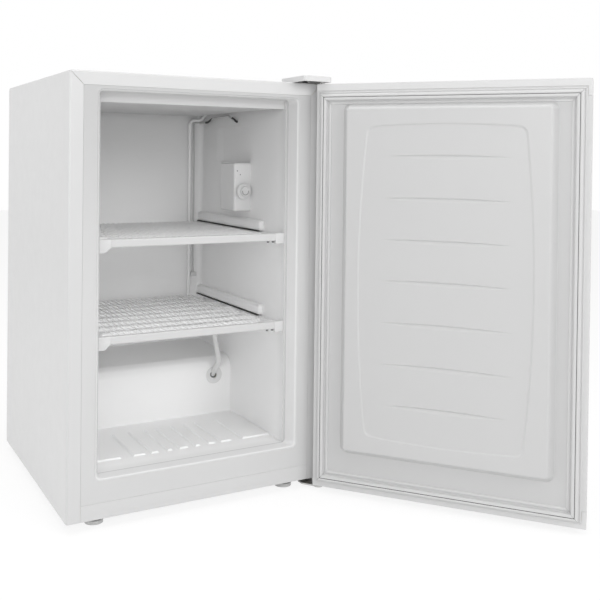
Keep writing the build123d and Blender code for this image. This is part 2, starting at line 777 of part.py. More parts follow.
sensor_y = back_run_y + 3
with BuildLine() as sensor_route:
    FilletPolyline(
        (knob_x, body_front + body_depth, above(knob_level)),
        (knob_x, behind(sensor_start_y), above(knob_level)),
        (sensor_wall_x, behind(sensor_start_y), above(knob_level)),
        (sensor_wall_x, behind(sensor_port_y), above(knob_level) + sensor_climb),
        (sensor_wall_x, behind(sensor_port_y), above(sensor_port_level)),
        (sensor_run_x, behind(sensor_port_y), above(sensor_port_level)),
        (sensor_run_x, behind(sensor_port_y) + sensor_slope, above(sensor_level)),
        (sensor_run_x, sensor_y, above(sensor_level)),
        (sensor_x, sensor_y, above(sensor_level)),
        (sensor_x, sensor_y, above(sensor_end)),
        radius=sensor_bend,
    )
thermostat_sensor_line = tube(sensor_route.wire(), sensor_radius)

with BuildPart() as sensor_clip:
    block(sensor_x - clip_width / 2, sensor_x + clip_width / 2, sensor_y - 2 * sensor_radius,
          behind(chamber_back), above(sensor_end), above(sensor_end) + clip_height)
    bore("z", sensor_x, sensor_y, above(sensor_end), sensor_radius + 0.5, 3 * clip_height)

# ---------------------------------------------------------------- machine compartment

plate_top = base_z + sheet + base_sheet
with BuildPart() as compressor_plate:
    with BuildSketch(Plane.YZ):
        span(behind(deck_front) + 2 * sheet, back_y - sheet, base_z + sheet, plate_top)
        span(back_y - sheet - base_sheet, back_y - sheet, base_z + sheet, plate_top + 10)
    extrude(amount=inside - seam, both=True)
    for x in (-foot_x, foot_x):
        bore("z", x, back_y - foot_inset, plate_top, stud_radius + seam, 10)

shell_centre = behind(shell_y)
shell_top, shell_bottom = above(shell_high), above(shell_low)
shell_seam = (shell_top + shell_bottom) / 2
with BuildPart() as compressor_shell:
    with BuildSketch(Plane.XY.offset(shell_bottom)):
        with Locations((shell_x, shell_centre)):
            RegularPolygon(shell_radius, shell_sides)
    extrude(amount=shell_top - shell_bottom)
    chamfer(compressor_shell.edges().group_by(Axis.Z)[0], bowl_chamfer)
    for length in dome_chamfers:
        chamfer(compressor_shell.edges().group_by(Axis.Z)[-1], length)
    with BuildSketch(Plane.XY.offset(shell_seam - shell_rim / 2)):
        with Locations((shell_x, shell_centre)):
            RegularPolygon(shell_radius + shell_rim, shell_sides)
    extrude(amount=shell_rim)
    stub_z = above(crossover_level) - stub_drop
    stub_y = shell_centre + shell_radius * 0.6
    stub_x = shell_x - shell_radius * 0.8
    for x, y in ((shell_x + shell_radius, shell_centre), (stub_x, stub_y)):
        with BuildSketch(Plane.YZ.offset(x)):
            with Locations((y, stub_z)):
                RegularPolygon(stub_radius, small_sides)
        extrude(amount=stub_length / 2, both=True)

with BuildPart() as compressor_bracket:
    with BuildSketch(Plane.XY.offset(shell_bottom - bracket_sheet)) as feet:
        with Locations((shell_x, shell_centre)):
            Rectangle(bracket_x + 2 * bracket_margin, bracket_y + 2 * bracket_margin)
            chamfer(feet.vertices(), bracket_margin / 2)
            with GridLocations(bracket_x, bracket_y, 2, 2):
                RegularPolygon(grommet_neck + seam, small_sides, major_radius=False, mode=Mode.SUBTRACT)
    extrude(amount=bracket_sheet)

mounts_at = [
    (shell_x + i * bracket_x / 2, shell_centre + j * bracket_y / 2) for i in (-1, 1) for j in (-1, 1)
]
grommet_top = shell_bottom + 3
with BuildPart() as compressor_grommets:
    for x, y in mounts_at:
        prism(x, y, plate_top, shell_bottom - bracket_sheet, grommet_outer)
        prism(x, y, plate_top, grommet_top, grommet_neck)
        bore("z", x, y, plate_top, grommet_bore, 60, 6)

with BuildPart() as compressor_bolts:
    for x, y in mounts_at:
        prism(x, y, plate_top, grommet_top, bolt_radius, 6)
        prism(x, y, grommet_top, grommet_top + bolt_head_height, bolt_head, 6)

terminal_x = shell_x - shell_radius - shell_rim - seam
with BuildPart() as terminal_cover:
    block(terminal_x - terminal_depth, terminal_x, shell_centre - terminal_half, shell_centre + terminal_half,
          shell_seam - terminal_half, shell_seam + terminal_half)
    chamfer(terminal_cover.faces().sort_by(Axis.X)[0].edges(), 4)

gland_x, gland_y = terminal_x - terminal_depth / 2, shell_centre + terminal_half
with BuildPart() as cord_gland:
    for radius, length in ((gland_flange, 3), (gland_radius, gland_length)):
        with BuildSketch(facing_front(gland_y)):
            with Locations((gland_x, shell_seam)):
                RegularPolygon(radius, 12)
        extrude(amount=-length)
    bore("y", gland_x, gland_y, shell_seam, gland_bore, 40)

coil_x = inside - seam - coil_radius


def coil_route(x):
    """The condenser tube inside one side wall, both ends in the machine compartment."""
    first, second, third, fourth = (above(level) for level in coil_levels)
    rise = (second - first) / 2
    front, back = behind(coil_front), behind(coil_back)
    with BuildLine() as route:
        FilletPolyline((x, behind(coil_start), above(coil_end)), (x, behind(coil_start), first),
                       (x, front, first), radius=coil_bend)
        ThreePointArc((x, front, first), (x, front - rise, first + rise), (x, front, second))
        Line((x, front, second), (x, back, second))
        ThreePointArc((x, back, second), (x, back + rise, second + rise), (x, back, third))
        Line((x, back, third), (x, front, third))
        ThreePointArc((x, front, third), (x, front - rise, third + rise), (x, front, fourth))
        FilletPolyline((x, front, fourth), (x, behind(coil_drop), fourth),
                       (x, behind(coil_drop), above(coil_end)), radius=coil_bend)
    return route.wire()


condenser_coil_left = tube(coil_route(-coil_x), coil_radius, 30)
condenser_coil_right = tube(coil_route(coil_x), coil_radius, 30)

coil_end_z, crossover_z, drier_z = above(coil_end), above(crossover_level), above(drier_level)
drop_y, start_y = behind(coil_drop), behind(coil_start)
with BuildLine() as discharge_route:
    FilletPolyline(
        (stub_x - stub_length / 2, stub_y, stub_z), (-coil_x + side_run_up, stub_y, stub_z),
        (-coil_x, start_y, stub_z), (-coil_x, start_y, coil_end_z),
        radius=small_bend,
    )
discharge_tube = tube(discharge_route.wire(), coil_radius)

with BuildLine() as crossover_route:
    FilletPolyline(
        (-coil_x, drop_y, coil_end_z), (-coil_x, drop_y, crossover_z),
        (coil_x - side_step, drop_y, crossover_z), (coil_x - side_step, start_y, crossover_z),
        (coil_x, start_y, crossover_z),
        (coil_x, start_y, coil_end_z),
        radius=small_bend,
    )
crossover_tube = tube(crossover_route.wire(), coil_radius)

with BuildLine() as drier_route:
    FilletPolyline((coil_x, drop_y, coil_end_z), (coil_x, drop_y, drier_z), (drier_to, drop_y, drier_z),
                   radius=elbow_radius)
drier_inlet_tube = tube(drier_route.wire(), coil_radius, 30)

with BuildPart() as filter_drier:
    with BuildSketch(Plane.YZ.offset(drier_from)):
        with Locations((drop_y, drier_z)):
            RegularPolygon(2 * coil_radius, small_sides)
    extrude(amount=drier_to - drier_from)
    with BuildPart() as can:
        with BuildSketch(Plane.YZ.offset(drier_from + drier_neck)):
            with Locations((drop_y, drier_z)):
                RegularPolygon(drier_radius, small_sides)
        extrude(amount=drier_to - drier_from - 2 * drier_neck)
        ends = can.edges().group_by(Axis.X)
        chamfer(ends[0] + ends[-1], drier_radius / 2)

with BuildLine() as capillary_route:
    FilletPolyline(
        (drier_from, drop_y, drier_z), (capillary_x, drop_y, drier_z),
        (capillary_x, behind(capillary_y), drier_z), (capillary_x, behind(capillary_y), upper_z),
        (side_run, behind(capillary_y), upper_z),
        (side_run, behind(chamber_back) + 3 * liner_wall, upper_z),
        radius=6,
    )
capillary_tube = tube(capillary_route.wire(), capillary_radius)

with BuildLine() as suction_route:
    FilletPolyline(
        (port_x, behind(hump_front) + 3 * liner_wall, above(port_level)),
        (port_x, behind(hump_front) + 22, above(port_level)),
        (port_x, behind(hump_front) + 22, stub_z), (port_x, shell_centre - 40, stub_z),
        (port_x - 60, shell_centre, stub_z), (shell_x + shell_radius + stub_length / 2, shell_centre, stub_z),
        radius=elbow_radius,
    )
suction_line = tube(suction_route.wire(), tube_radius)

for x in (-coil_x, coil_x):
    for y in (start_y, drop_y):
        with compartment_deck:
            bore("z", x, y, above(deck_roof), coil_radius + 2 * seam, 10, 4)
with compartment_deck:
    bore("z", capillary_x, behind(capillary_y), above(deck_roof), capillary_radius + 2 * seam, 10, 4)
    bore("y", port_x, behind(deck_front), stub_z, tube_radius + 3 * seam, 10, 4)

# ---------------------------------------------------------------- feet

socket_low = pad_thickness - 3
with BuildPart() as left_foot_pad:
    with Locations((-foot_x, behind(foot_inset), 0)):
        Cylinder(foot_radius, pad_thickness, align=(Align.CENTER, Align.CENTER, Align.MIN))
    prism(-foot_x, behind(foot_inset), socket_low, pad_thickness, stud_radius + seam, mode=Mode.SUBTRACT)

with BuildPart() as left_foot_stud:
    prism(-foot_x, behind(foot_inset), pad_thickness + seam, base_z - seam, collar_radius, 6)
    prism(-foot_x, behind(foot_inset), socket_low + seam, base_z + nut_height - 2, stud_radius - 0.2)

with BuildPart() as right_foot_pad:
    add(left_foot_pad.part.mirror(Plane.YZ))
with BuildPart() as right_foot_stud:
    add(left_foot_stud.part.mirror(Plane.YZ))

nut_base = base_z + 2 * sheet
with BuildPart() as foot_nuts:
    for x in (-foot_x, foot_x):
        prism(x, behind(foot_inset), nut_base, nut_base + nut_flange, nut_flange_radius)
        prism(x, behind(foot_inset), nut_base, nut_base + nut_height, nut_radius, 6)
        bore("z", x, behind(foot_inset), nut_base, stud_radius + seam, 3 * nut_height)

with BuildPart() as rear_feet:
    with Locations((-foot_x, back_y - foot_inset, 0), (foot_x, back_y - foot_inset, 0)):
        Cylinder(foot_radius, base_z + sheet, align=(Align.CENTER, Align.CENTER, Align.MIN))
    for x in (-foot_x, foot_x):
        prism(x, back_y - foot_inset, base_z, base_z + sheet + stub_height, stud_radius)

# ---------------------------------------------------------------- hinges

hinge_screws = [(hinge_x - 16, behind(14)), (hinge_x - 16, behind(44)), (hinge_x - 3, behind(30))]
with BuildPart() as top_hinge:
    with BuildSketch(Plane.XY.offset(top_z)):
        span(hinge_x - 24, hinge_x + tongue_end, front_y, behind(54))
        span(hinge_x - tongue_end, hinge_x + tongue_end, hinge_y, behind(10))
        with Locations((hinge_x, hinge_y)):
            Circle(tongue_end)
        with Locations(*hinge_screws):
            RegularPolygon(screw_radius + screw_clear, small_sides, major_radius=False, mode=Mode.SUBTRACT)
    extrude(amount=hinge_plate)
    with Locations((hinge_x, hinge_y, above(door_high) - bush_height + 1)):
        Cylinder(pin_radius, top_z - above(door_high) + bush_height,
                 align=(Align.CENTER, Align.CENTER, Align.MIN))


def screws(places, z, length, up):
    """Screws at these places, heads above z if up, else below it."""
    out = 1 if up else -1
    with BuildPart() as group:
        for x, y in places:
            prism(x, y, z, z + out * screw_head_height, screw_head)
            prism(x, y, z, z - out * length, screw_radius)
    return group


top_hinge_screws = screws(hinge_screws, top_z + hinge_plate, screw_length, True)

with BuildPart() as hinge_cover:
    with Locations((cover_x, behind(cover_y), top_z)):
        Box(cover_width, cover_length, hinge_cover_height, align=(Align.CENTER, Align.CENTER, Align.MIN))
        chamfer(hinge_cover.edges().filter_by(Axis.Z), 4)
        chamfer(hinge_cover.faces().sort_by(Axis.Z)[-1].edges(), 1.5)
        Box(cover_width - 2 * hinge_cover_wall, cover_length - 2 * hinge_cover_wall,
            hinge_cover_height - hinge_cover_wall, align=(Align.CENTER, Align.CENTER, Align.MIN),
            mode=Mode.SUBTRACT)

bottom_screws = [(hinge_x - 22, behind(32)), (hinge_x - 4, behind(46))]
tongue_top = above(tongue_level)
bracket_low = tongue_top - bracket_sheet_bottom
with BuildPart() as bottom_hinge:
    with BuildSketch(Plane.XY.offset(bracket_low)):
        with BuildLine():
            Polyline(
                (hinge_x + 8, behind(19)), (hinge_x - 26, behind(19)), (hinge_x - 26, behind(2)),
                (hinge_x - tongue_radius + 1, hinge_y + 1), (hinge_x + 8, hinge_y + 1), close=True,
            )
        make_face()
        with Locations((hinge_x, hinge_y)):
            Circle(tongue_radius - 1)
    extrude(amount=bracket_sheet_bottom)
    block(hinge_x - 26, hinge_x + 8, behind(16), behind(19), bracket_low, base_z)
    block(hinge_x - 30, hinge_x + 8, behind(16), behind(60), base_z - bracket_sheet_bottom, base_z)
    for x, y in bottom_screws:
        bore("z", x, y, base_z, screw_radius + screw_clear, 10)
    with Locations((hinge_x, hinge_y, tongue_top)):
        Cylinder(pin_radius, above(door_low) - tongue_top + bush_height - 1,
                 align=(Align.CENTER, Align.CENTER, Align.MIN))

bottom_hinge_screws = screws(bottom_screws, base_z - bracket_sheet_bottom, screw_length, False)

with outer_wrapper:
    for x, y in hinge_screws:
        bore("z", x, y, top_z, screw_radius + screw_clear, 10)
    for x, y in bottom_screws:
        bore("z", x, y, base_z, screw_radius + screw_clear, 4)
with base_plate:
    for x, y in bottom_screws:
        bore("z", x, y, base_z, screw_radius + screw_clear, 10)

# ---------------------------------------------------------------- cabinet foam

foam_x = coil_x - 2 * coil_radius
wall_back, pocket = behind(chamber_back), 2 * seam
line_y, line_x = behind(capillary_y), (capillary_x - 2 * capillary_radius, capillary_x + 2 * capillary_radius)
with BuildPart() as cabinet_foam:
    block(-foam_x, foam_x, behind(rail_fold) + seam, back_y - 3 * sheet - 2 * seam,
          base_z + 2 * sheet + seam, top_z - sheet - seam)
    with BuildSketch(Plane.YZ) as compressor_space:
        span(behind(deck_front) - sheet, back_y, base_z, above(deck_roof) + sheet)
        fillet(compressor_space.vertices().sort_by(Axis.X)[:2].sort_by(Axis.Y)[-1], deck_radius)
    extrude(amount=half, both=True, mode=Mode.SUBTRACT)
    add(mouth_and_chamber(liner_wall + seam), mode=Mode.SUBTRACT)
    reach = liner_wall + seam
    block(chamber_half, chamber_half + recess_depth + reach, recess[0] - reach, recess[1] + reach,
          recess[2] - reach, recess[3] + reach, mode=Mode.SUBTRACT)
    for box in (
        # suction line and the end of its sleeve
        (port_x - sleeve_radius - 2 * pocket, port_x + sleeve_radius + 2 * pocket, behind(hump_front),
         behind(deck_front), stub_z - 2 * tube_radius, above(port_level) + sleeve_radius + 2 * pocket),
        # capillary tube up the back, across, and into the upper shelf's tube
        (*line_x, line_y - 2 * capillary_radius, line_y + 2 * capillary_radius, base_z, upper_z + 3),
        (line_x[0], side_run + 2 * tube_radius, line_y - 2 * capillary_radius, line_y + 2 * capillary_radius,
         upper_z - 3, upper_z + 3),
        (side_run - 2 * tube_radius, side_run + 2 * tube_radius, wall_back, line_y + 2 * capillary_radius,
         upper_z - 2 * tube_radius, upper_z + 2 * tube_radius),
        # thermostat's sensing line inside the right wall
        (chamber_half, sensor_wall_x + 2 * sensor_radius, behind(sensor_start_y) - 2 * sensor_radius,
         behind(sensor_port_y) + 2 * sensor_radius, above(knob_level) - 2 * sensor_radius,
         above(sensor_port_level) + 2 * sensor_radius),
    ):
        block(*box, mode=Mode.SUBTRACT)
    for x in (-foot_x, foot_x):
        nut = nut_flange_radius * 1.1
        block(x - nut, x + nut, behind(foot_inset) - nut, behind(foot_inset) + nut, base_z,
              nut_base + nut_height + seam, mode=Mode.SUBTRACT)
    screw = screw_radius * 1.3
    for x, y in hinge_screws:
        block(x - screw, x + screw, y - screw, y + screw, top_z - screw_length, top_z, mode=Mode.SUBTRACT)
    for x, y in bottom_screws:
        block(x - screw, x + screw, y - screw, y + screw, base_z, base_z + screw_length, mode=Mode.SUBTRACT)

# ---------------------------------------------------------------- door, modelled closed

door_top, door_bottom = above(door_high), above(door_low)
strip_low, strip_high = door_bottom + end_cap, door_top - end_cap
near_edge, free_edge = door_half, -door_half


def door_outline(inset):
    """The door seen from above, moved in by inset."""
    with BuildSketch() as outline:
        span(-door_half + inset, door_half - inset, door_face - door_thickness + inset, door_face - inset)
        outer, inner = (outline.vertices().group_by(Axis.Y)[i] for i in (0, -1))
        if inset:
            chamfer(outer, (door_outer_radius - inset) * 0.6)
            chamfer(inner, door_inner_radius / 2)
        else:
            fillet(outer, door_outer_radius)
            fillet(inner, door_inner_radius)
    return outline.sketch


def door_slab(inset, low, high):
    with BuildPart() as slab:
        with BuildSketch(Plane.XY.offset(low)):
            add(door_outline(inset))
        extrude(amount=high - low)
    return slab.part


def door_corner(low, high):
    """The part of the plastic strips that reaches round the free edge."""
    with BuildPart() as corner:
        add(door_slab(0, low, high))
        block(free_edge, free_edge + corner_width - seam, door_face - corner_depth, door_face, low, high,
              mode=Mode.INTERSECT)
    return corner.part


def door_bulge(wall, height):
    """The raised middle of the door liner, moved in by wall, cut off at height."""
    back = door_face - (plate + 1 if wall else 0)
    with BuildPart() as bulge:
        for y, reach in ((back, wall), (door_face + height, bulge_draft * height / bulge_height + wall)):
            with BuildSketch(facing_front(y)) as outline:
                span(along(bulge_far) + reach, along(bulge_near) - reach,
                     above(bulge_low) + reach, above(bulge_high) - reach)
                if wall:
                    chamfer(outline.vertices(), bulge_radius / 2)
                else:
                    fillet(outline.vertices(), bulge_radius)
        loft()
    return bulge.part


def gasket_ring(near, far, low, high):
    """A rectangle on the door's inner face, as the path of a gasket or its groove."""
    left, right, start = along(far), along(near), (low + high) / 2
    with BuildLine(facing_front(door_face)) as ring:
        Polyline((right, start), (right, high), (left, high), (left, low), (right, low), (right, start))
    return ring.wire()


def mitred(ring, section):
    """Sweep a section round a ring with mitred corners."""
    with BuildPart() as frame:
        add(section)
        sweep(path=ring, transition=Transition.RIGHT)
    return frame.part


middle = gasket_width / 2
ring_near, ring_far = gasket_near + middle, gasket_far - middle
ring_low, ring_high = above(gasket_low) + middle, above(gasket_high) - middle
ring_path = gasket_ring(ring_near, ring_far, ring_low, ring_high)
# local x runs across the gasket, local y away from the door
ring_plane = Plane(origin=ring_path @ 0, x_dir=(1, 0, 0), z_dir=(0, 0, 1))


def across(outline):
    """A closed outline in the gasket's cross-section, as a sketch."""
    with BuildSketch(ring_plane) as section:
        with BuildLine():
            Polyline(*outline, close=True)
        make_face()
    return section.sketch


dart, groove = dart_width / 2, dart_width / 2 + groove_clear
channel_depth = dart_depth + groove_clear + plate / 2
channel_section = across([
    (-groove - plate / 2, -channel_depth), (groove + plate / 2, -channel_depth),
    (groove + plate / 2, 0), (-groove - plate / 2, 0),
])
groove_section = across([
    (-groove, -dart_depth - groove_clear), (groove, -dart_depth - groove_clear), (groove, 1), (-groove, 1),
])

with BuildPart() as door_panel:
    add(door_slab(0, strip_low, strip_high))
    add(door_slab(sheet, strip_low - 1, strip_high + 1), mode=Mode.SUBTRACT)
    block(free_edge + door_return, near_edge - door_return, door_face - 2 * sheet, door_face + 1,
          strip_low - 1, strip_high + 1, mode=Mode.SUBTRACT)
    for low, high in ((strip_low - 1, door_bottom + corner_wrap), (door_top - corner_wrap, strip_high + 1)):
        block(free_edge - 1, free_edge + corner_width, door_face - corner_depth - seam, door_face + 1,
              low, high, mode=Mode.SUBTRACT)

plate_near, plate_far = near_edge - door_return - seam, free_edge + door_return + seam
with BuildPart() as door_liner:
    block(plate_far, plate_near, door_face - plate, door_face, strip_low + seam, strip_high - seam)
    add(door_bulge(0, bulge_height))
    fillet(door_liner.faces().sort_by(Axis.Y)[-1].edges(), bulge_edge)
    add(mitred(ring_path, channel_section))
    add(door_bulge(plate, bulge_height - panel_depth - plate), mode=Mode.SUBTRACT)
    with BuildSketch(facing_front(door_face + bulge_height)) as panel:
        with BuildLine():
            left, right = along(panel_far), along(panel_near)
            low, high = above(panel_low), above(panel_high)
            centre_x, centre_z = (left + right) / 2, (low + high) / 2
            ThreePointArc((left, low), (left - panel_bow, centre_z), (left, high))
            ThreePointArc((left, high), (centre_x, high + panel_rise), (right, high))
            ThreePointArc((right, high), (right + panel_bow, centre_z), (right, low))
            ThreePointArc((right, low), (centre_x, low - panel_rise), (left, low))
        make_face()
        fillet(panel.vertices(), panel_radius)
    extrude(amount=panel_depth, mode=Mode.SUBTRACT)
    with BuildSketch(facing_front(door_face + bulge_height - panel_depth)):
        for level in leaf_levels:
            reach = (leaf_end_length if level in (leaf_levels[0], leaf_levels[-1]) else leaf_length) / 2
            x, z = along(leaf_middle), above(level)
            with BuildLine():
                ThreePointArc((x - reach, z), (x, z + leaf_height / 2), (x + reach, z))
                ThreePointArc((x + reach, z), (x, z - leaf_height / 2), (x - reach, z))
            make_face()
    extrude(amount=leaf_depth, mode=Mode.SUBTRACT)
    add(mitred(ring_path, groove_section), mode=Mode.SUBTRACT)

lip = gasket_width / 2
head = magnet_width / 2 + 2
gasket_section = across([
    (-dart, -dart_depth), (dart, -dart_depth), (dart, 0), (lip, 0), (lip - 1, 1.6), (head - 2, 2.2),
    (head - 1, 3.6), (head - 3, 4.6), (head, 5.6), (head, gasket_height - 0.8), (head - 1, gasket_height),
    (1 - head, gasket_height), (-head, gasket_height - 0.8), (-head, 5.6), (3 - head, 4.6), (1 - head, 3.6),
    (2 - head, 2.2), (1 - lip, 1.6), (-lip, 0), (-dart, 0),
])
magnet_low = gasket_height - 0.9 - magnet_height


def magnet_bar(clear):
    reach = magnet_width / 2 + clear
    return across([(-reach, magnet_low - clear), (reach, magnet_low - clear),
                   (reach, magnet_low + magnet_height + clear), (-reach, magnet_low + magnet_height + clear)])


with BuildPart() as door_gasket:
    add(mitred(ring_path, gasket_section))
    add(mitred(ring_path, magnet_bar(0.1)), mode=Mode.SUBTRACT)

with BuildPart() as gasket_magnet:
    add(mitred(ring_path, magnet_bar(0)))

grip_left, grip_right = hinge_x - door_width + grip_from, hinge_x - door_width + grip_to
grip_y = door_face - door_thickness + grip_front
with BuildPart() as door_top_strip:
    add(door_slab(0, strip_high, door_top))
    add(door_slab(cap_wall, strip_high - 1, door_top - cap_wall), mode=Mode.SUBTRACT)
    add(door_corner(door_top - corner_wrap + seam, strip_high + cap_wall))
    block(grip_left - cap_wall, grip_right + cap_wall, grip_y - cap_wall, grip_y + grip_width + cap_wall,
          door_top - grip_depth - cap_wall, door_top - 1)
    with BuildSketch(Plane.XY.offset(door_top)):
        span(grip_left, grip_right, grip_y, grip_y + grip_width)
    extrude(amount=-grip_depth, mode=Mode.SUBTRACT)
    prism(hinge_x, hinge_y, door_top - 1 - bush_height, door_top - 1, bush_radius + cap_wall)
    bore("z", hinge_x, hinge_y, door_top, bush_radius + 0.1, 2 * bush_height)

with BuildPart() as door_bottom_strip:
    add(door_slab(0, door_bottom, strip_low))
    add(door_slab(cap_wall, door_bottom + cap_wall, strip_low + 1), mode=Mode.SUBTRACT)
    add(door_corner(strip_low - cap_wall, door_bottom + corner_wrap - seam))
    prism(hinge_x, hinge_y, door_bottom + 1, door_bottom + 1 + bush_height, bush_radius + cap_wall)
    bore("z", hinge_x, hinge_y, door_bottom, bush_radius + 0.1, 2 * bush_height)

with BuildPart() as door_bushes:
    for z in (door_bottom, door_top - bush_height):
        prism(hinge_x, hinge_y, z, z + bush_height, bush_radius)
        round_bore("z", hinge_x, hinge_y, z + bush_height / 2, pin_radius + 0.1, bush_height + 1)

with BuildPart() as door_foam:
    add(door_slab(cap_wall + seam, door_bottom + cap_wall + seam, door_top - cap_wall - seam))
    block(free_edge, near_edge, door_face - plate - seam, door_face + 1, door_bottom, door_top,
          mode=Mode.SUBTRACT)
    add(door_bulge(plate + seam, bulge_height - panel_depth - plate - seam))
    reach = groove + plate / 2 + seam
    add(mitred(ring_path, across([(-reach, -channel_depth - seam), (reach, -channel_depth - seam),
                                  (reach, 1), (-reach, 1)])), mode=Mode.SUBTRACT)
    for low, high in ((door_bottom, door_bottom + corner_wrap), (door_top - corner_wrap, door_top)):
        block(free_edge, free_edge + corner_width, door_face - corner_depth - seam, door_face,
              low - seam, high + seam, mode=Mode.SUBTRACT)
    shell = cap_wall + seam
    block(grip_left - shell, grip_right + shell, grip_y - shell, grip_y + grip_width + shell,
          door_top - grip_depth - shell, door_top, mode=Mode.SUBTRACT)
    boss = (bush_radius + cap_wall) * 1.1
    for z in (door_top, door_bottom):
        block(hinge_x - boss, near_edge, hinge_y - boss, door_face, z - bush_height - 2, z + bush_height + 2,
              mode=Mode.SUBTRACT)


# ---------------------------------------------------------------- pieces

standing_pieces = {
    "outer_wrapper": outer_wrapper,
    "front_rail": front_rail,
    "base_plate": base_plate,
    "compartment_deck": compartment_deck,
    "back_panel": back_panel,
    "cabinet_foam": cabinet_foam,
    "inner_liner": inner_liner,
    "lower_shelf_coil": lower_shelf_coil,
    "lower_shelf_wires": lower_shelf_wires,
    "lower_shelf_trim": lower_shelf_trim,
    "lower_shelf_end_caps": lower_shelf_end_caps,
    "upper_shelf_coil": upper_shelf_coil,
    "upper_shelf_wires": upper_shelf_wires,
    "upper_shelf_trim": upper_shelf_trim,
    "upper_shelf_end_caps": upper_shelf_end_caps,
    "ceiling_coil": ceiling_coil,
    "ceiling_cover": ceiling_cover,
    "corner_riser": corner_riser,
    "left_riser": left_riser,
    "suction_sleeve": suction_sleeve,
    "suction_grommet": suction_grommet,
    "thermostat_housing": thermostat_housing,
    "thermostat_body": thermostat_body,
    "thermostat_knob": thermostat_knob,
    "thermostat_sensor_line": thermostat_sensor_line,
    "sensor_clip": sensor_clip,
    "compressor_plate": compressor_plate,
    "compressor_shell": compressor_shell,
    "compressor_bracket": compressor_bracket,
    "compressor_grommets": compressor_grommets,
    "compressor_bolts": compressor_bolts,
    "terminal_cover": terminal_cover,
    "cord_gland": cord_gland,
    "condenser_coil_left": condenser_coil_left,
    "condenser_coil_right": condenser_coil_right,
    "discharge_tube": discharge_tube,
    "crossover_tube": crossover_tube,
    "drier_inlet_tube": drier_inlet_tube,
    "filter_drier": filter_drier,
    "capillary_tube": capillary_tube,
    "suction_line": suction_line,
    "left_foot_pad": left_foot_pad,
    "left_foot_stud": left_foot_stud,
    "right_foot_pad": right_foot_pad,
    "right_foot_stud": right_foot_stud,
    "foot_nuts": foot_nuts,
    "rear_feet": rear_feet,
    "top_hinge": top_hinge,
    "top_hinge_screws": top_hinge_screws,
    "hinge_cover": hinge_cover,
    "bottom_hinge": bottom_hinge,
    "bottom_hinge_screws": bottom_hinge_screws,
}
door_pieces = {
    "door_panel": door_panel,
    "door_top_strip": door_top_strip,
    "door_bottom_strip": door_bottom_strip,
    "door_bushes": door_bushes,
    "door_foam": door_foam,
    "door_liner": door_liner,
    "door_gasket": door_gasket,
    "gasket_magnet": gasket_magnet,
}

for name, piece in standing_pieces.items():
    piece.part.label = name
    export_step(piece.part, f"parts/{name}.step")

for name, piece in door_pieces.items():
    opened = piece.part.rotate(hinge_axis, door_open)
    opened.label = name
    export_step(opened, f"parts/{name}.step")
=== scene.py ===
import bpy
import bmesh
import json
import math
from mathutils import Matrix, Vector


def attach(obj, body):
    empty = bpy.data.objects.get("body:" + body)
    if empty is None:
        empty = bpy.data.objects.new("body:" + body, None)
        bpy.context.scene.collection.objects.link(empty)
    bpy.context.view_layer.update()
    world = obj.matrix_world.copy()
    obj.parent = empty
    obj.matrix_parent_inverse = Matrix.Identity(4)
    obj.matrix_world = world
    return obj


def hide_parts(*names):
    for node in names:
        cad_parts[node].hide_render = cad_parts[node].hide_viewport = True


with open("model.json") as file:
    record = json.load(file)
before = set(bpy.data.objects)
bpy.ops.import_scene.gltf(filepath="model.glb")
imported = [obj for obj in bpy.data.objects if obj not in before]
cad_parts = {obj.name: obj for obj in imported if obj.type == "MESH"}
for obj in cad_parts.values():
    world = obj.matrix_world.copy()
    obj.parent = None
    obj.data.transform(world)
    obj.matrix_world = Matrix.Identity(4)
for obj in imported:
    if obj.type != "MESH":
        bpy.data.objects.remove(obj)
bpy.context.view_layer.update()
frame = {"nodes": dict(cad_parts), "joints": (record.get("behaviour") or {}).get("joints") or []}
nodes = frame["nodes"]

# ---------------------------------------------------------------- camera, at the photograph's angle

PHOTO_SIDE, SENSOR = 600, 36                    # pixels, and millimetres
YAW, TILT, ROLL = math.radians(28.24), math.radians(-0.69), math.radians(0.64)
FOCAL, CENTRE = 854.37, (265.69, 167.25)        # in the photograph's pixels
EYE = (-0.68585, -1.79215, 0.69298)


def photo_camera():
    """The camera that took the photograph, solved from the cabinet's straight edges."""
    forward = Vector((math.sin(YAW) * math.cos(TILT), math.cos(YAW) * math.cos(TILT), math.sin(TILT)))
    right = Vector((math.cos(YAW), -math.sin(YAW), 0))
    up = right.cross(forward)
    right, up = math.cos(ROLL) * right + math.sin(ROLL) * up, math.cos(ROLL) * up - math.sin(ROLL) * right
    camera = bpy.data.objects.new("camera", bpy.data.cameras.new("camera"))
    bpy.context.collection.objects.link(camera)
    turn = Matrix((right, up, -forward)).transposed().to_4x4()
    camera.matrix_world = Matrix.Translation(EYE) @ turn
    camera.data.sensor_width = SENSOR
    camera.data.lens = FOCAL / PHOTO_SIDE * SENSOR
    camera.data.shift_x = (PHOTO_SIDE / 2 - CENTRE[0]) / PHOTO_SIDE
    camera.data.shift_y = (CENTRE[1] - PHOTO_SIDE / 2) / PHOTO_SIDE
    camera.data.clip_start = 0.05
    bpy.context.scene.camera = camera


photo_camera()
bpy.context.scene.view_settings.view_transform = "Standard"


# ---------------------------------------------------------------- materials

class Nodes:
    """Short hand for building a node tree."""

    def __init__(self, tree):
        self.tree = tree

    def add(self, kind, values=None, **settings):
        node = self.tree.nodes.new(kind)
        for key, value in settings.items():
            setattr(node, key, value)
        for key, value in (values or {}).items():
            node.inputs[key].default_value = value
        return node

    def link(self, output, target):
        self.tree.links.new(output, target)


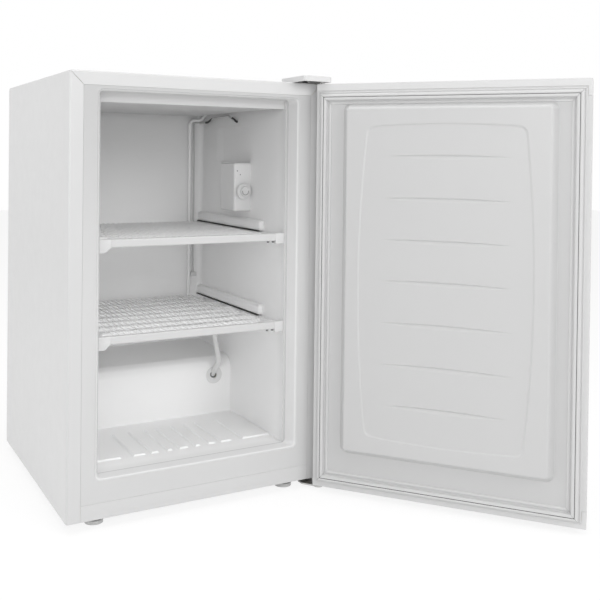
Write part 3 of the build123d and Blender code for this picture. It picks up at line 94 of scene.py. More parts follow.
def finish(name, colour, roughness=0.4, metallic=0.0, grain=900, bump=0.15, depth=0.0001, drift=0.02,
           patch=9, coat=0.0, specular=0.5, wear=0.06, sheen=0.0):
    """A moulded, painted or metal finish: colour drift, uneven gloss, and a fine surface grain."""
    material = bpy.data.materials.new(name)
    material.use_nodes = True
    tree = Nodes(material.node_tree)
    shader = material.node_tree.nodes["Principled BSDF"]
    shader.inputs["Metallic"].default_value = metallic
    shader.inputs["Specular IOR Level"].default_value = specular
    shader.inputs["Coat Weight"].default_value = coat
    shader.inputs["Coat Roughness"].default_value = 0.12
    shader.inputs["Sheen Weight"].default_value = sheen
    spot = tree.add("ShaderNodeTexCoord").outputs["Object"]

    cloud = tree.add("ShaderNodeTexNoise", {"Scale": patch, "Detail": 4, "Roughness": 0.6})
    tree.link(spot, cloud.inputs["Vector"])
    blend = tree.add("ShaderNodeMix", data_type="RGBA")
    dark = [c * (1 - drift) for c in colour]
    light = [min(1, c * (1 + drift)) for c in colour]
    blend.inputs["A"].default_value = (*dark, 1)
    blend.inputs["B"].default_value = (*light, 1)
    tree.link(cloud.outputs["Fac"], blend.inputs["Factor"])
    tree.link(blend.outputs["Result"], shader.inputs["Base Color"])

    smudge = tree.add("ShaderNodeTexNoise", {"Scale": patch * 3.7, "Detail": 5, "Roughness": 0.65})
    tree.link(spot, smudge.inputs["Vector"])
    gloss = tree.add("ShaderNodeMapRange", {
        "From Min": 0.3, "From Max": 0.7, "To Min": max(0.02, roughness - wear), "To Max": roughness + wear})
    tree.link(smudge.outputs["Fac"], gloss.inputs["Value"])
    tree.link(gloss.outputs["Result"], shader.inputs["Roughness"])

    fine = tree.add("ShaderNodeTexNoise", {"Scale": grain, "Detail": 3, "Roughness": 0.55})
    tree.link(spot, fine.inputs["Vector"])
    relief = tree.add("ShaderNodeBump", {"Strength": bump, "Distance": depth})
    tree.link(fine.outputs["Fac"], relief.inputs["Height"])
    tree.link(relief.outputs["Normal"], shader.inputs["Normal"])
    return material


def lin(level, tint=(1, 1, 1)):
    """A linear colour from an sRGB level out of 255."""
    c = level / 255
    value = c / 12.92 if c <= 0.04045 else ((c + 0.055) / 1.055) ** 2.4
    return tuple(min(1, value * t) for t in tint)


paint = finish("painted_steel", lin(214), 0.34, grain=420, bump=0.10, depth=0.0002, drift=0.006, coat=0.15)
door_paint = finish("door_paint", lin(214), 0.42, grain=420, bump=0.10, depth=0.0002, drift=0.006,
                    specular=0.3)
liner_plastic = finish("liner_plastic", lin(252), 0.5, grain=650, bump=0.08, depth=0.0002, drift=0.01,
                       specular=0.3)
# The door liner is the same white plastic as the chamber's liner; its darker colour here is painted shade.
door_plastic_painted_shade = finish("door_plastic_painted_shade", lin(203), 0.36, grain=650, bump=0.08, depth=0.0002, drift=0.008)
trim_plastic = finish("trim_plastic", lin(212), 0.36, grain=900, bump=0.10, drift=0.01)
cap_plastic = finish("cap_plastic", lin(218), 0.42, grain=1500, bump=0.2, drift=0.012)
gasket_vinyl = finish("gasket_vinyl", lin(211), 0.5, grain=1200, bump=0.2, drift=0.015, sheen=0.1)
coated_tube = finish("coated_tube", lin(248), 0.38, grain=700, bump=0.2, drift=0.012)
zinc = finish("zinc_plate", lin(176, (0.99, 1, 1.02)), 0.36, 0.9, grain=130, bump=0.1, drift=0.1, patch=60)
steel = finish("hinge_steel", lin(190, (1, 0.995, 0.98)), 0.3, 0.95, grain=600, bump=0.15, drift=0.04)
black_paint = finish("compressor_paint", lin(40), 0.32, grain=500, bump=0.2, depth=0.0003, drift=0.15,
                     coat=0.4)
copper = finish("copper_tube", (0.56, 0.31, 0.21), 0.34, 1.0, grain=500, bump=0.1, drift=0.12, patch=40)
rubber = finish("black_rubber", lin(36), 0.7, grain=1400, bump=0.4, drift=0.1)
foam = finish("foam", (0.80, 0.70, 0.42), 0.9, grain=700, bump=0.8, depth=0.0006, drift=0.08)
foot_plastic = finish("foot_plastic", lin(206, (1, 1, 0.99)), 0.5, grain=1400, bump=0.25, drift=0.02)
sleeve_foam = finish("sleeve_foam", lin(226), 0.6, grain=500, bump=0.35, depth=0.0004, drift=0.03)
knob_plastic = finish("knob_plastic", lin(222), 0.4, grain=1500, bump=0.15, drift=0.012)
port_plastic = finish("port_plastic", lin(228), 0.5, grain=1500, bump=0.2, drift=0.012)
box_plastic = finish("box_plastic", lin(230), 0.42, grain=1500, bump=0.2, drift=0.012)
# Dark grey for small dark parts and marks, and for painted shadow under the right ledges and in the back
# wall's slots.
mark_and_shadow_grey = finish("mark_and_shadow_grey", lin(120), 0.6, grain=1500, bump=0.2, drift=0.03)
cover_plastic = finish("cover_plastic", lin(206), 0.42, grain=900, bump=0.10, drift=0.01)
# Dark plastic for the thermostat's body, the bushes and the magnet, and for painted shade at the sensor
# line's ends and in the thermostat's vent holes.
dark_plastic_and_shadow = finish("dark_plastic_and_shadow", lin(52), 0.45, grain=1300, bump=0.3, drift=0.06)


def paint_shade_by_place(material, axis, start, end, low, high):
    """Paints light and shade into the colour by place: it is multiplied by low where a place on that axis is
    at start, and by high at end.
    """
    tree = Nodes(material.node_tree)
    colour = material.node_tree.nodes["Principled BSDF"].inputs["Base Color"]
    before = colour.links[0].from_socket
    spot = tree.add("ShaderNodeNewGeometry")
    split = tree.add("ShaderNodeSeparateXYZ")
    tree.link(spot.outputs["Position"], split.inputs[0])
    limits = {"From Min": start, "From Max": end, "To Min": low, "To Max": high}
    share = tree.add("ShaderNodeMapRange", limits, interpolation_type="SMOOTHSTEP")
    tree.link(split.outputs[axis], share.inputs["Value"])
    scaled = tree.add("ShaderNodeVectorMath", operation="SCALE")
    tree.link(before, scaled.inputs[0])
    tree.link(share.outputs["Result"], scaled.inputs["Scale"])
    tree.link(scaled.outputs[0], colour)


# Shade is painted into the liner's colour by place, to match the photograph. In all it is 0.68 of what is
# written on the flange, 0.87 in the throat, 0.67 on the step behind it, and 1 in the chamber, with painted
# shade darkening it higher up.
paint_shade_by_place(liner_plastic, "Y", -0.2615, -0.2585, 0.78, 1.0)
paint_shade_by_place(liner_plastic, "Y", -0.2325, -0.2300, 1.30, 1.0)
paint_shade_by_place(liner_plastic, "Y", -0.2288, -0.2278, 0.67, 0.90)
paint_shade_by_place(liner_plastic, "Y", -0.226, -0.196, 1.0, 1.11)
paint_shade_by_place(liner_plastic, "Z", 0.40, 0.82, 1.0, 0.86)

coats = (                                        # the CAD nodes that stay in sight
    (paint, ("outer_wrapper", "front_rail")),
    (door_paint, ("door_panel",)),
    (liner_plastic, ("inner_liner",)),
    (trim_plastic, ("lower_shelf_trim", "upper_shelf_trim")),
    (cover_plastic, ("ceiling_cover",)),
    (box_plastic, ("thermostat_housing",)),
    (cap_plastic, ("sensor_clip", "hinge_cover", "door_top_strip", "door_bottom_strip")),
    (dark_plastic_and_shadow, ("thermostat_body", "terminal_cover", "door_bushes", "gasket_magnet")),
    (zinc, ("base_plate", "compartment_deck", "back_panel", "compressor_plate")),
    (steel, ("compressor_bolts", "foot_nuts", "top_hinge", "top_hinge_screws", "bottom_hinge",
             "bottom_hinge_screws")),
    (black_paint, ("compressor_bracket",)),
    (copper, ("condenser_coil_left", "condenser_coil_right")),
    (rubber, ("compressor_grommets", "cord_gland")),
    (foam, ("cabinet_foam", "door_foam")),
    (foot_plastic, ("left_foot_pad", "left_foot_stud", "right_foot_pad", "right_foot_stud", "rear_feet")),
)
for coat, names in coats:
    for name in names:
        slots = nodes[name].data.materials
        slots.clear()
        slots.append(coat)

# ---------------------------------------------------------------- building pieces, in millimetres

MM = 0.001


def place(name, data, body, coat, stands_for=()):
    """Puts a built piece on its body, and hides the CAD nodes that it stands for."""
    piece = bpy.data.objects.new(name, data)
    bpy.context.collection.objects.link(piece)
    data.materials.append(coat)
    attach(piece, body)
    if stands_for:
        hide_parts(*stands_for)
    return piece


def pipe(name, route, radius, bends, coat, stands_for=(), body="cabinet"):
    """A round tube through the route's points, turned at each with its own bend radius."""
    route = [Vector(p) * MM for p in route]
    if not hasattr(bends, "__len__"):
        bends = [bends] * (len(route) - 2)
    knots = [[route[0], None, None]]                # point, handle before, handle after
    for before, corner, after, bend in zip(route, route[1:], route[2:], bends):
        back = (before - corner).normalized()
        on = (after - corner).normalized()
        turned = math.pi - back.angle(on)
        reach = bend * MM * math.tan(turned / 2)
        handle = bend * MM * 4 / 3 * math.tan(turned / 4)
        enter, leave = corner + back * reach, corner + on * reach
        if (knots[-1][0] - enter).length < 1e-6:
            knots[-1][2] = enter - back * handle
        else:
            knots.append([enter, None, enter - back * handle])
        knots.append([leave, leave - on * handle, None])
    if (knots[-1][0] - route[-1]).length > 1e-6:
        knots.append([route[-1], None, None])
    for first, second in zip(knots, knots[1:]):
        if first[2] is None or second[1] is None:
            first[2] = first[0].lerp(second[0], 1 / 3) if first[2] is None else first[2]
            second[1] = second[0].lerp(first[0], 1 / 3) if second[1] is None else second[1]
    curve = bpy.data.curves.new(name, "CURVE")
    curve.dimensions = "3D"
    curve.bevel_depth = radius * MM
    curve.bevel_resolution = 5
    curve.resolution_u = 7
    curve.use_fill_caps = True
    spline = curve.splines.new("BEZIER")
    spline.bezier_points.add(len(knots) - 1)
    for point, (at, before, after) in zip(spline.bezier_points, knots):
        point.co = at
        point.handle_left_type = point.handle_right_type = "FREE"
        point.handle_left = at if before is None else before
        point.handle_right = at if after is None else after
    return place(name, curve, body, coat, stands_for)


def shade(mesh, angle):
    """Smooth faces, with sharp edges where they turn by more than the angle."""
    for face in mesh.polygons:
        face.use_smooth = True
    mesh.set_sharp_from_angle(angle=math.radians(angle))


def mesh_from(name, shape, angle):
    """A mesh of the bmesh, with its faces turned outward."""
    bmesh.ops.recalc_face_normals(shape, faces=shape.faces)
    mesh = bpy.data.meshes.new(name)
    shape.to_mesh(mesh)
    shape.free()
    shade(mesh, angle)
    return mesh


def turn_out(mesh, rounding=0, segments=3):
    """Turns a mesh's faces outward, and rounds its edges where a width is given."""
    shape = bmesh.new()
    shape.from_mesh(mesh)
    bmesh.ops.recalc_face_normals(shape, faces=shape.faces)
    if rounding:
        bmesh.ops.bevel(shape, geom=list(shape.edges), offset=rounding * MM, segments=segments,
                        profile=0.5, affect="EDGES", clamp_overlap=True)
    shape.to_mesh(mesh)
    shape.free()


def block_mesh(name, points, count):
    """A closed block between two outlines of count points each, given in metres."""
    faces = [tuple(range(count)), tuple(range(2 * count - 1, count - 1, -1))]
    faces += [(k, count + k, count + (k + 1) % count, (k + 1) % count) for k in range(count)]
    mesh = bpy.data.meshes.new(name)
    mesh.from_pydata(points, [], faces)
    return mesh


def lathe(name, profile, centre, axis, coat, stands_for=(), body="cabinet", steps=32):
    """A turned piece: (radius, height) points round an axis through centre."""
    axis = Vector(axis).normalized()
    side = axis.orthogonal().normalized()
    other = axis.cross(side)
    shape = bmesh.new()
    rings = []
    for radius, height in profile:
        base = (Vector(centre) + axis * height) * MM
        if radius == 0:
            rings.append([shape.verts.new(base)])
            continue
        rings.append([
            shape.verts.new(base + (side * math.cos(a) + other * math.sin(a)) * radius * MM)
            for a in (2 * math.pi * i / steps for i in range(steps))
        ])
    for low, high in zip(rings, rings[1:]):
        for i in range(steps):
            j = (i + 1) % steps
            loop = [low[i % len(low)], low[j % len(low)], high[j % len(high)], high[i % len(high)]]
            corners = [v for k, v in enumerate(loop) if v not in loop[:k]]
            if len(corners) > 2:
                shape.faces.new(corners)
    return place(name, mesh_from(name, shape, 35), body, coat, stands_for)


def soften(node, width):
    """Rounds the sharp edges of a CAD node, as a moulding or a fold has them."""
    obj = nodes[node]
    weld = obj.modifiers.new("weld", "WELD")
    weld.merge_threshold = 1e-5
    flat = obj.modifiers.new("flat", "DECIMATE")
    flat.decimate_type = "DISSOLVE"
    flat.angle_limit = math.radians(0.6)
    bevel = obj.modifiers.new("round", "BEVEL")
    bevel.width = width * MM
    bevel.segments = 3
    bevel.limit_method = "ANGLE"
    bevel.angle_limit = math.radians(30)
    bevel.harden_normals = True


for node, width in {
    "inner_liner": 2.2, "thermostat_housing": 2.5, "hinge_cover": 2, "lower_shelf_trim": 1,
    "upper_shelf_trim": 1, "ceiling_cover": 1.2,
    "door_top_strip": 1, "door_bottom_strip": 1, "outer_wrapper": 0.8, "front_rail": 0.5, "door_panel": 0.8,
    "terminal_cover": 2, "compressor_bracket": 1, "rear_feet": 1.2, "base_plate": 0.5, "top_hinge": 0.6,
    "bottom_hinge": 0.6, "foot_nuts": 0.5,
}.items():
    soften(node, width)

# ---------------------------------------------------------------- evaporator shelves

LOWER, UPPER, CEILING = 340, 525, 799.8          # the tubes' levels over the floor
PASSES, PITCH, FIRST, END = 9, 48.5, -216.5, 158.5
LAST = FIRST + (PASSES - 1) * PITCH              # FIRST and LAST: the front and rear passes, along y
SIDE, BACK_RUN = 193, 193                        # the tube beside the right wall, and by the back wall
RISER, LEFT_RISER, BRAZED = 163, -185.5, 776
SUCTION_X, SUCTION_Y = 144, 2                    # where the lower tube's tail goes down
TUBE, ELBOW, CEILING_BEND, RISER_BEND = 4, 10, 40, 14


def serpentine(level):
    """Corners and bend radii of a shelf's passes, from the front one to the rear one."""
    route, bends = [], []
    for i in range(PASSES - 1):
        y = FIRST + i * PITCH
        side = -1 if i % 2 == 0 else 1
        x = side * (END + PITCH / 2)
        route += [(x, y, level), (x, y + PITCH, level)]
        bends += [PITCH / 2] * 2
    return route, bends


turns, radii = serpentine(LOWER)
tail = [(SUCTION_X, SUCTION_Y, 319), (SUCTION_X, SUCTION_Y, LOWER), (SIDE, SUCTION_Y, LOWER),
        (SIDE, FIRST, LOWER)]
half_turn = (BACK_RUN - LAST) / 2
corner = [(-END - half_turn, LAST, LOWER), (-END - half_turn, BACK_RUN, LOWER)]
pipe("lower_shelf_tube", tail + turns + corner + [(RISER, BACK_RUN, LOWER), (RISER, BACK_RUN, BRAZED)],
     TUBE, [ELBOW] * 3 + radii + [half_turn] * 2 + [ELBOW], coated_tube,
     ["lower_shelf_coil", "corner_riser"])
turns, radii = serpentine(UPPER)
pipe("upper_shelf_tube", [(SIDE, 207, UPPER), (SIDE, FIRST, UPPER)] + turns + [
    (LEFT_RISER, LAST, UPPER), (LEFT_RISER, LAST, BRAZED),
], TUBE, [ELBOW] + radii + [ELBOW], coated_tube, ["upper_shelf_coil", "left_riser"])
CEILING_ROWS, CEILING_END = (-167, -87, -7), 170
pipe("ceiling_tube", [
    (LEFT_RISER, LAST, BRAZED), (LEFT_RISER, LAST, CEILING), (LEFT_RISER, CEILING_ROWS[0], CEILING),
    (CEILING_END, CEILING_ROWS[0], CEILING), (CEILING_END, CEILING_ROWS[1], CEILING),
    (-CEILING_END, CEILING_ROWS[1], CEILING), (-CEILING_END, CEILING_ROWS[2], CEILING),
    (SIDE, CEILING_ROWS[2], CEILING), (SIDE, 158, CEILING), (SIDE, BACK_RUN, BRAZED + 8),
    (RISER, BACK_RUN, BRAZED + 8), (RISER, BACK_RUN, BRAZED),
], TUBE, [ELBOW] * 2 + [CEILING_BEND] * 4 + [ELBOW] * 3 + [RISER_BEND], coated_tube, ["ceiling_coil"])
BRAZED_SLEEVE = [(4, -13), (4.7, -12), (4.8, -8), (4.8, -2), (4.7, -0.5), (4, 0)]
for name, x, y in (("left_brazed_sleeve", LEFT_RISER, LAST), ("corner_brazed_sleeve", RISER, BACK_RUN)):
    lathe(name, BRAZED_SLEEVE, (x, y, BRAZED), (0, 0, 1), coated_tube)

WIRE_ROWS = ((1, 12, 28), (-1, 36, 9))           # over or under the tube, pitch, and count
WIRE_FRONT, WIRE_BACK, WIRE_LIFT = -218.5, 179.5, 5
WIRE, WIRE_END, WIRE_TIP, WIRE_SIDES = 1, 0.5, 0.6, 8    # radius, radius at its end, length of the taper


def wire(shape, x, start, end, z):
    """One wire along y, tapered at its ends."""
    rings = []
    for y, r in ((start, WIRE_END), (start + WIRE_TIP, WIRE), (end - WIRE_TIP, WIRE), (end, WIRE_END)):
        rings.append([
            shape.verts.new(Vector((x + r * math.cos(a), y, z + r * math.sin(a))) * MM)
            for a in (2 * math.pi / WIRE_SIDES * i for i in range(WIRE_SIDES))
        ])
    for low, high in zip(rings, rings[1:]):
        for i in range(WIRE_SIDES):
            j = (i + 1) % WIRE_SIDES
            shape.faces.new((low[i], low[j], high[j], high[i]))
    shape.faces.new(rings[0][::-1])
    shape.faces.new(rings[-1])


def wires(name, level, stands_for, gap=None):
    """The wires welded across a shelf's tube. The gap, if any, is cut from the lower row round the tail."""
    shape = bmesh.new()
    for side, pitch, count in WIRE_ROWS:
        for k in range(count):
            x = (k - (count - 1) / 2) * pitch
            z = level + side * WIRE_LIFT
            spans = [(WIRE_FRONT, WIRE_BACK)]
            if gap and side < 0 and gap[0] < x < gap[1]:
                spans = [(WIRE_FRONT, gap[2]), (gap[3], WIRE_BACK)]
            for start, end in spans:
                wire(shape, x, start, end, z)
    return place(name, mesh_from(name, shape, 60), "cabinet", coated_tube, stands_for)


wires("lower_shelf_wire_mat", LOWER, ["lower_shelf_wires"], gap=(132, 156, -18.25, 22.25))
wires("upper_shelf_wire_mat", UPPER, ["upper_shelf_wires"])

# ---------------------------------------------------------------- fittings in the chamber


def prism(name, outline, start, end, width, coat, stands_for=(), segments=3):
    """An outline of (x, z) points drawn from y start to y end, with rounded edges."""
    points = [Vector((x, y, z)) * MM for y in (start, end) for x, z in outline]
    mesh = block_mesh(name, points, len(outline))
    turn_out(mesh, width, segments)
    shade(mesh, 50)
    return place(name, mesh, "cabinet", coat, stands_for)


def rectangle(near, far, low, high):
    """The outline from x near to x far, and from level low to level high."""
    return [(near, low), (near, high), (far, high), (far, low)]


WALL = 199.7                                     # the chamber's half width, less a hair
CAP_FRONT, CAP_BACK, CAP_TOP = -228.8, -220.5, 8.3
FOOT = [(-176, -8.3), (-179.5, -10), (-184.5, -15), (-187.5, -17.3), (-WALL, -17.3)]


def end_caps(name, level):
    """A trim's end caps: the left one with its foot, and the square right one."""
    outline = [(-WALL, level + CAP_TOP), (-176, level + CAP_TOP)] + [(x, level + z) for x, z in FOOT]
    prism(name + "_left_cap", outline, CAP_FRONT, CAP_BACK, 0.9, cap_plastic, [name + "_shelf_end_caps"])
    outline = [(WALL, level + CAP_TOP), (179.8, level + CAP_TOP), (179.8, level - 14), (WALL, level - 14)]
    prism(name + "_right_cap", outline, CAP_FRONT, CAP_BACK, 1.4, cap_plastic)


def trim_clip(name, x, level):
    """A clip's dark tip under a trim."""
    top, tip = level - 7.5, level - 11.4
    outline = [(x - 2.2, top), (x + 2.2, top), (x + 1.6, tip), (x - 1.6, tip)]
    prism(name, outline, -226, -221.5, 0.5, mark_and_shadow_grey)


for name, level in (("lower", LOWER), ("upper", UPPER)):
    end_caps(name, level)
    for side, hand in ((-1, "left"), (1, "right")):
        outline = rectangle(side * 188.6, side * 204, level + 5, level + 28.4)
        prism(f"{name}_{hand}_ledge", outline, -139, 201.5, 7.2, liner_plastic, segments=6)
    for k, x in enumerate((164, 175.5)):
        trim_clip(f"{name}_trim_clip_{k + 1}", x, level)
        # This runs twice at the same place, so the right ledge's painted shadow strip has a twin and the
        # left one has none.
        # A dark grey strip under the right ledge: painted shadow for the gap between the ledge and the
        # shelf.
        shadow_strip = rectangle(187.6, 199, level + 4, level + 6.2)
        prism(name + "_right_ledge_shadow_strip", shadow_strip, -132, 200, 0.6, mark_and_shadow_grey, segments=2)

COVER_LOW, HEAD = 793.7, 810.9                   # the ceiling cover's underside, and the liner's ceiling
COVER_LIP = [                                    # along y, and level
    (-222.8, COVER_LOW), (-223.9, 795.6), (-224, 799), (-224, 802), (-224.4, 805), (-225.5, 807.8),
    (-227.4, 809.8), (-230, HEAD + 0.6), (-233, HEAD + 2), (-214, HEAD + 2), (-214, COVER_LOW),
]


def cover_lip():
    """The soft front of the ceiling's cover, drawn from wall to wall."""
    points = [Vector((x, y, z)) * MM for x in (-199.6, 199.6) for y, z in COVER_LIP]
    mesh = block_mesh("ceiling_cover_lip", points, len(COVER_LIP))
    shade(mesh, 45)
    return place("ceiling_cover_lip", mesh, "cabinet", cover_plastic)


cover_lip()

# The suction line's sleeve runs down from the shelf's tail to its grommet on the step.
pipe("suction_foam_sleeve", [
    (SUCTION_X, SUCTION_Y, 318), (SUCTION_X, SUCTION_Y, 298.5), (160.5, SUCTION_Y, 216), (153.5, 27, 181),
], 6.5, [16, 15], sleeve_foam, ["suction_sleeve"])
lathe("suction_port_grommet", [
    (6.6, 0.4), (6.9, 1.4), (8.5, 1.8), (17.5, 1.8), (19.3, 1.4), (20, 0.6), (20, 0),
], (157, 22, 181), (0, -1, 0), port_plastic, ["suction_grommet"], steps=64)
lathe("suction_port_seal", [(5, 1.9), (5.6, 2.6), (7, 2.7), (7.8, 2.2), (8, 1.7)], (154.3, 22, 183),
      (0, -1, 0), mark_and_shadow_grey, steps=40)

# The thermostat's sensing line leaves the wall, runs back under the ceiling and down the rear corner.
SENSOR_X, SENSOR_LEVEL, SLEEVE = 192, 777, 2.6
# The back wall's slots are drawn as painted shadow: thin dark grey marks laid on the wall.
SLOT_SHADOW_HALF, SLOT_SHADOW_STEPS = 1.6, 10                  # half a back wall slot's height, and its outline's steps
pipe("sensor_line_tube", [
    (200.5, 0, 776), (SENSOR_X, 0, 776), (SENSOR_X, 30, 789), (SENSOR_X, 110, 787),
    (SENSOR_X, 150, SENSOR_LEVEL), (SENSOR_X, 196, SENSOR_LEVEL), (176, 196, SENSOR_LEVEL), (176, 196, 390),
], 2, [6, 10, 12, 12, 6, 6], cover_plastic, ["thermostat_sensor_line"])
# The two dark sleeves on the line are painted shade, standing for the dark shade at the line's two ends.
pipe("sensor_line_front_shadow_sleeve", [(199.8, -0.5, 773.5), (194.5, 0, 777), (192.2, 11, 783.5)], SLEEVE, [4],
     dark_plastic_and_shadow)
pipe("sensor_line_back_shadow_sleeve", [(SENSOR_X, 124, 784.3), (SENSOR_X, 150, 777.2), (SENSOR_X, 160, 776.9)],
     SLEEVE, [8], dark_plastic_and_shadow)


def slot_shadow_mark(name, centre, level, reach):
    """Painted shadow of a slim slot in the back wall: a thin dark grey mark on the wall, pointed at its
    ends.
    """
    angles = [math.pi * k / SLOT_SHADOW_STEPS for k in range(SLOT_SHADOW_STEPS + 1)]
    top = [(centre + reach * math.cos(a), level + SLOT_SHADOW_HALF * math.sin(a)) for a in angles]
    low = [(x, 2 * level - z) for x, z in reversed(top[1:-1])]
    return prism(name, top + low, 201.55, 202.4, 0.05, mark_and_shadow_grey, segments=1)


slot_shadow_mark("back_wall_left_slot_shadow", -87, 706, 29)
slot_shadow_mark("back_wall_right_slot_shadow", 87, 706, 29)


def recess_ramp():
    """The slope at the back end of the recess over the thermostat."""
    outline = [(204.1, 78), (204.1, 113.4), (199.9, 113.4)]
    points = [Vector((x, y, z)) * MM for z in (681.2, 762.8) for x, y in outline]
    mesh = block_mesh("thermostat_recess_ramp", points, len(outline))
    return place("thermostat_recess_ramp", mesh, "cabinet", liner_plastic)


recess_ramp()

# ---------------------------------------------------------------- thermostat

DIAL_X, DIAL_LEVEL, BOX_FRONT = 179, 615, -72
FORWARD = (0, -1, 0)
lathe("thermostat_dial", [
    (0, 14.2), (2, 14.2), (8.5, 14.4), (9.6, 15.4), (10.6, 15.4), (11.1, 14.6), (11.2, 9.4), (11.8, 8.9),
    (14, 8.8), (16.2, 9.4), (17.2, 9.2), (17.9, 8), (17.9, 0.6), (17.4, 0), (3, 0), (3, -17),
], (DIAL_X, BOX_FRONT - 1.5, DIAL_LEVEL), FORWARD, knob_plastic, ["thermostat_knob"],
    body="thermostat_knob", steps=72)
lathe("dial_skirt_ring", [(15.8, 0.2), (18.6, 0.2), (19.2, 0.9), (19.2, 1.8), (18.4, 2.4), (17.4, 2.4)],
      (DIAL_X, BOX_FRONT, DIAL_LEVEL), FORWARD, port_plastic, steps=72)
SCALE_RADIUS, SCALE_FACE = 7.4, -88.1
scale = [math.radians(a) for a in range(165, 376, 15)]
pipe("dial_scale_line", [
    (DIAL_X - SCALE_RADIUS * math.cos(a), SCALE_FACE, DIAL_LEVEL + SCALE_RADIUS * math.sin(a)) for a in scale
], 0.55, 0.9, mark_and_shadow_grey, body="thermostat_knob")
# Two small dark discs on the box's front are painted shade, standing for the shade inside two small vent
# holes.
for k, (x, z) in enumerate(((166, 661), (173.5, 652.5))):
    lathe(f"thermostat_vent_shadow_{k + 1}", [(0, 0.35), (0.9, 0.3), (1.2, 0)], (x, BOX_FRONT, z), FORWARD,
          dark_plastic_and_shadow, steps=16)

# ---------------------------------------------------------------- compressor and pipes at the back

PORT_LEVEL = 138                                 # the compressor's ports
COIL_X, COIL_FRONT, COIL_BACK, COIL_END = 264.4, 218, 241, 158    # where the condenser's tubes end
DRIER_LEVEL, CROSS_LEVEL = 118, 146
FINE_TUBE, CAPILLARY = 2.5, 1.2
lathe("compressor_can", [
    (0, 32), (38, 32.4), (50, 36), (58, 43), (61.5, 54), (62, 64), (62, 100), (62.6, 100.8), (65.6, 101),
    (66, 101.6), (66, 104.4), (65.6, 105), (62.6, 105.2), (62, 106), (62, 138), (61, 149), (57, 159),
    (48, 167.5), (34, 172.4), (16, 174), (0, 174),
], (-50, 170, 0), (0, 0, 1), black_paint, ["compressor_shell"], steps=96)
for name, x, y, length in (("suction_stub", 8, 170, 14), ("discharge_stub", -94, 207.2, -16)):
    stub = [(0, 0), (5.2, 0), (5.2, length * 0.55), (4.4, length * 0.6), (4.4, length), (0, length)]
    lathe(name, stub, (x, y, PORT_LEVEL), (1, 0, 0), copper)
pipe("discharge_pipe", [
    (-109.6, 207.2, PORT_LEVEL), (-214.4, 207.2, PORT_LEVEL), (-COIL_X, COIL_FRONT, PORT_LEVEL),
    (-COIL_X, COIL_FRONT, COIL_END),
], FINE_TUBE, [16, 8], copper, ["discharge_tube"])
pipe("crossover_pipe", [
    (-COIL_X, COIL_BACK, COIL_END), (-COIL_X, COIL_BACK, CROSS_LEVEL), (246.4, COIL_BACK, CROSS_LEVEL),
    (246.4, COIL_FRONT, CROSS_LEVEL), (COIL_X, COIL_FRONT, CROSS_LEVEL), (COIL_X, COIL_FRONT, COIL_END),
], FINE_TUBE, 8, copper, ["crossover_tube"])
pipe("drier_inlet_pipe", [
    (COIL_X, COIL_BACK, COIL_END), (COIL_X, COIL_BACK, DRIER_LEVEL), (215, COIL_BACK, DRIER_LEVEL),
], FINE_TUBE, 12, copper, ["drier_inlet_tube"])
lathe("drier_can", [
    (0, 0), (2.6, 0), (3, 2), (3.6, 5), (6, 8), (8.4, 11), (9, 14), (9, 66), (8.8, 67), (8.8, 68), (9, 69),
    (9, 72), (8.2, 75), (6, 78), (3.8, 80), (3.4, 83), (3.2, 85), (0, 85),
], (130, COIL_BACK, DRIER_LEVEL), (1, 0, 0), copper, ["filter_drier"], steps=48)
pipe("capillary_pipe", [
    (130, COIL_BACK, DRIER_LEVEL), (112, COIL_BACK, DRIER_LEVEL), (112, 223, DRIER_LEVEL), (112, 223, UPPER),
    (SIDE, 223, UPPER), (SIDE, 208, UPPER),
], CAPILLARY, 8, copper, ["capillary_tube"])
pipe("suction_pipe", [
    (157, 28, 181), (157, 44, 181), (157, 44, PORT_LEVEL), (157, 130, PORT_LEVEL), (97, 170, PORT_LEVEL),
    (22, 170, PORT_LEVEL),
], TUBE, [10, 10, 30, 30], copper, ["suction_line"])

# ---------------------------------------------------------------- door liner and gasket
# Worked out on the closed door, from distances to the hinge axis, heights over the door's inner
# face and levels over the floor, and turned to where the open door rests.

hinge = next(joint for joint in frame["joints"] if joint["name"] == "door_hinge")
pivot = Vector((*hinge["pos_m"][:2], 0))
swing = Matrix.Rotation(math.radians(-hinge["range_deg"][0]), 4, "Z")
opened = Matrix.Translation(pivot) @ swing @ Matrix.Translation(-pivot)
HINGE_X, DOOR_FACE = pivot.x / MM, -273


def on_door(distance, level, height):
    """A place on the open door, in metres."""
    return opened @ (Vector((HINGE_X - distance, DOOR_FACE + height, level)) * MM)


def smaller(a, b, blend):
    """The smaller of two values, rounded over where they meet."""
    near = max(blend - abs(a - b), 0)
    return min(a, b) - near * near / (4 * blend)


PLATE = (1.2, 514.2, 25.6, 830.7)                # near, far, low, high
BULGE = (50, 467, 90, 804)
BULGE_HEIGHT, BULGE_RADIUS, FLANK = 20, 16, 2.0  # FLANK: rise for each millimetre inward
PANEL = (104.5, 412, 135, 757)
PANEL_BOW, PANEL_RISE, PANEL_DEPTH, PANEL_WALL = 17, 6, 1.7, 3.0
LEAVES = (201, 282.5, 365.6, 449, 530, 613, 696.6)    # the grooves' levels
LEAF_MIDDLE, LEAF_REACH, LEAF_SHORTER, LEAF_DEPTH = 261, 130, 7, 2.7
LEAF_HEIGHT, LEAF_VALLEY = 4.6, 0.4


def bulge_inside(distance, level):
    """How far a place lies inside the bulge's rounded outline, negative outside it."""
    near, far, low, high = BULGE
    across = abs(distance - (near + far) / 2) - (far - near) / 2 + BULGE_RADIUS
    along = abs(level - (low + high) / 2) - (high - low) / 2 + BULGE_RADIUS
    return BULGE_RADIUS - math.hypot(max(across, 0), max(along, 0)) - min(max(across, along), 0)


